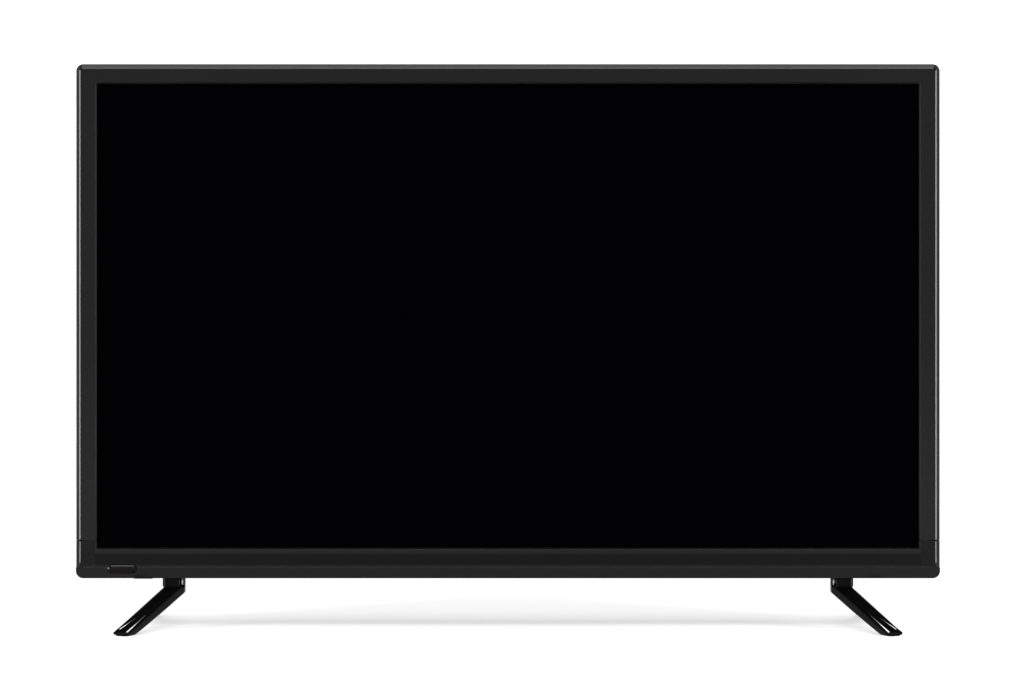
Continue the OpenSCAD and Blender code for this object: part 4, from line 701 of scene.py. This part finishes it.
# Surround
# Two mouldings of semi-gloss black ABS, snapped together at the side seams. Their edges are drawn off
# by a fraction of a millimetre and catch the lamps. The bar's sunk band and ends have a finer, duller finish.
surround_abs = plastic("semi_gloss_abs", "#0e0e0e", 0.1, 2.5, 0.03, ior=1.225)
band_abs = plastic("fine_matt_band", "#0e0e0e", 0.2, 1.5, 0.03, ior=1.125)
end_abs = plastic("fine_satin_end", "#0e0e0e", 0.15, 2.0, 0.03, ior=1.168)
BAND_LOW = 0.0526
BAND_HIGH = 0.0635
BAND_DEPTH = 0.004
BAND_X = 0.351
CREST_X = 0.362
CREST_FACET = 0.0007
CREST_FROM = 0.0565
LIP_FACET = 0.0009
SEAM_FACET = 0.0003
SEAM_DEPTH = 0.005
LIP_FRONT = surround_low.y + 0.0005
LIP_EDGE = 0.0674
NEAR = 0.00005
FACES_FRONT = -0.9
SHARP = math.radians(30)
seam_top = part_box("bottom_bar")[1].z


def bar_finish(middle, normal):
    """1 in the sunk band between the lip under the screen and the chin's ridge, 2 on the upturned ends
    beside it, and 0 everywhere else."""
    if middle.z < BAND_LOW or middle.y > surround_low.y + BAND_DEPTH or normal.y > FACES_FRONT:
        return 0
    if abs(middle.x) < BAND_X:
        return int(middle.z < BAND_HIGH)
    return 2 if middle.z < seam_top and abs(middle.x) < CREST_X else 0


def on_crest(edge):
    """The edge where the sloped rim meets the flat crest, above the chin."""
    return (all(abs(v.co.y - surround_low.y) < NEAR and v.co.z > CREST_FROM - NEAR for v in edge.verts)
            and edge.calc_face_angle(0) > SHARP)


def on_lip(edge):
    """The front edge of the lip under the screen."""
    return all(abs(v.co.y - LIP_FRONT) < NEAR and abs(v.co.z - LIP_EDGE) < NEAR for v in edge.verts)


def on_seam(edge):
    """The front edges of the bottom bar's two upturned ends."""
    return (all(abs(v.co.z - seam_top) < NEAR and v.co.y < surround_low.y + SEAM_DEPTH for v in edge.verts)
            and edge.calc_face_angle(0) > SHARP)


for node in ("front_frame", "bottom_bar"):
    moulding = dressed_copy(node, 0.00025, segments=3, angle=18, cut=CREST_FROM,
                            facets=((CREST_FACET, on_crest), (LIP_FACET, on_lip), (SEAM_FACET, on_seam)))
    finish_faces(moulding, [surround_abs, band_abs, end_abs], bar_finish)

# Infrared window and keys
# The window is a smooth lens of dark red acrylic with a shallow facet round its front, snapped in from
# behind. The key is satin ABS and stands just below the bar, and six like it stand in the cover's side.
LENS_FACET = 0.0016
LENS_LEAN = 0.42
lens_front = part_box("ir_window")[0].y


def on_lens_front(edge):
    """The outline of the lens's front face."""
    return (all(abs(v.co.y - lens_front) < NEAR for v in edge.verts)
            and edge.calc_face_angle(0) > SHARP)


lens = dressed_copy("ir_window", 0.0001, facets=((LENS_FACET, on_lens_front),))
for corner in lens.data.vertices:
    if corner.co.y < lens_front + LENS_FACET + NEAR:
        corner.co.y = lens_front + (corner.co.y - lens_front) * LENS_LEAN
dark_acrylic = plastic("dark_red_acrylic", "#060303", 0.14, 6.0, 0.02, ior=1.18)
lens.data.materials.append(dark_acrylic)
key_satin = plastic("satin_key_abs", "#191919", 0.4, 0.8, 0.15)
for node in ("power_key", "source_key", "menu_key", "volume_up_key", "volume_down_key", "channel_up_key",
             "channel_down_key"):
    cap = dressed_copy(node, 0.0004, segments=3)
    cap.data.materials.append(key_satin)

# Feet
# Each foot is one moulding of high-gloss black ABS, screwed up into a bracket through its neck.
# Two light grey beads on each toe and one beside the neck are painted highlights: streaks of light laid on
# the black gloss. Rubber pads are pressed in under the toes.
foot_gloss = plastic("high_gloss_abs", "#050505", 0.08, 9.0, 0.03, ior=1.118)
# Light grey satin metal for the beads, so that they show as painted highlights on the black feet
highlight_paint = metal("silver_painted_highlight", "#b8b8b8", 0.5, 2.0)

# Upper face of a right arm as its inner and outer edges, each from the tip to the neck: front arm, rear arm
ARM_EDGES = (
    ((Vector((0.3152, -0.0946, 0.0028)), Vector((0.2813, -0.0205, 0.0348))),
     (Vector((0.3276, -0.0946, 0.0028)), Vector((0.2937, -0.0205, 0.0348)))),
    ((Vector((0.3152, 0.0946, 0.0028)), Vector((0.2768, -0.0035, 0.0348))),
     (Vector((0.3276, 0.0946, 0.0028)), Vector((0.2937, -0.0035, 0.0348)))),
)
# Each toe bead's thick and thin end, as shares up the arm and across it from the inner edge, and its radius
# at the thick end. The toe beads are painted highlights, light grey streaks for the reflections on the toes'
# gloss.
TOE_HIGHLIGHTS = (((0.08, 0.86), (0.31, 0.62), 0.0005), ((0.015, 0.15), (0.375, 0.16), 0.0008))
HIGHLIGHT_THIN = 0.00015
# Lower and upper end of the bead in the corner between a right foot's stem and its neck, and its radius. This
# bead is a painted light strip for the bright line in that corner.
NECK_HIGHLIGHT = (Vector((0.2793, -0.0132, 0.0358)), Vector((0.2793, -0.0132, 0.0426)))
NECK_HIGHLIGHT_RADIUS = 0.0011


def on_arm(edges, up, across):
    """The point of an arm's upper face at those shares up the arm and across it."""
    inner, outer = (tip.lerp(neck, up) for tip, neck in edges)
    return inner.lerp(outer, across)


def highlight_bead(start, end, thick, thin, side):
    """A round light grey bead between two points of a right foot, or of its mirror image, half sunk in the
    face: a painted highlight.
    """
    start, end = (Vector((side * place.x, place.y, place.z)) for place in (start, end))
    run = end - start
    bpy.ops.object.select_all(action="DESELECT")
    bpy.ops.mesh.primitive_cone_add(vertices=16, radius1=thick, radius2=thin, depth=run.length,
                                    location=(start + end) / 2,
                                    rotation=run.to_track_quat("Z", "Y").to_euler())
    bpy.ops.object.transform_apply(location=True, rotation=True)
    bpy.ops.object.shade_smooth()
    bead = bpy.context.object
    bead.data.materials.append(highlight_paint)
    return bead


for node, side in (("foot_left", -1), ("foot_right", 1)):
    foot = dressed_copy(node, 0.0012, segments=4)
    foot.data.materials.append(foot_gloss)
    # Painted highlights: grey beads on the toes and beside the neck, joined to the foot
    highlight_beads = [highlight_bead(on_arm(edges, *start), on_arm(edges, *end), thick, HIGHLIGHT_THIN, side)
             for edges in ARM_EDGES for start, end, thick in TOE_HIGHLIGHTS]
    highlight_beads.append(highlight_bead(*NECK_HIGHLIGHT, NECK_HIGHLIGHT_RADIUS, NECK_HIGHLIGHT_RADIUS, side))
    select_only(foot)
    for bead in highlight_beads:
        bead.select_set(True)
    bpy.ops.object.join()
pads = dressed_copy("foot_pads", 0.0004)
pads.data.materials.append(black_rubber)

# Rear cover
# One large moulding of black ABS with a spark-eroded grain, wrapped round the set from behind.
# Eight blackened screws hold it to the pan.
cover = dressed_copy("rear_cover", 0.0005)
cover.data.materials.append(plastic("spark_grain_abs", "#1b1b1b", 0.55, 0.9, 0.45, tint=0.03))
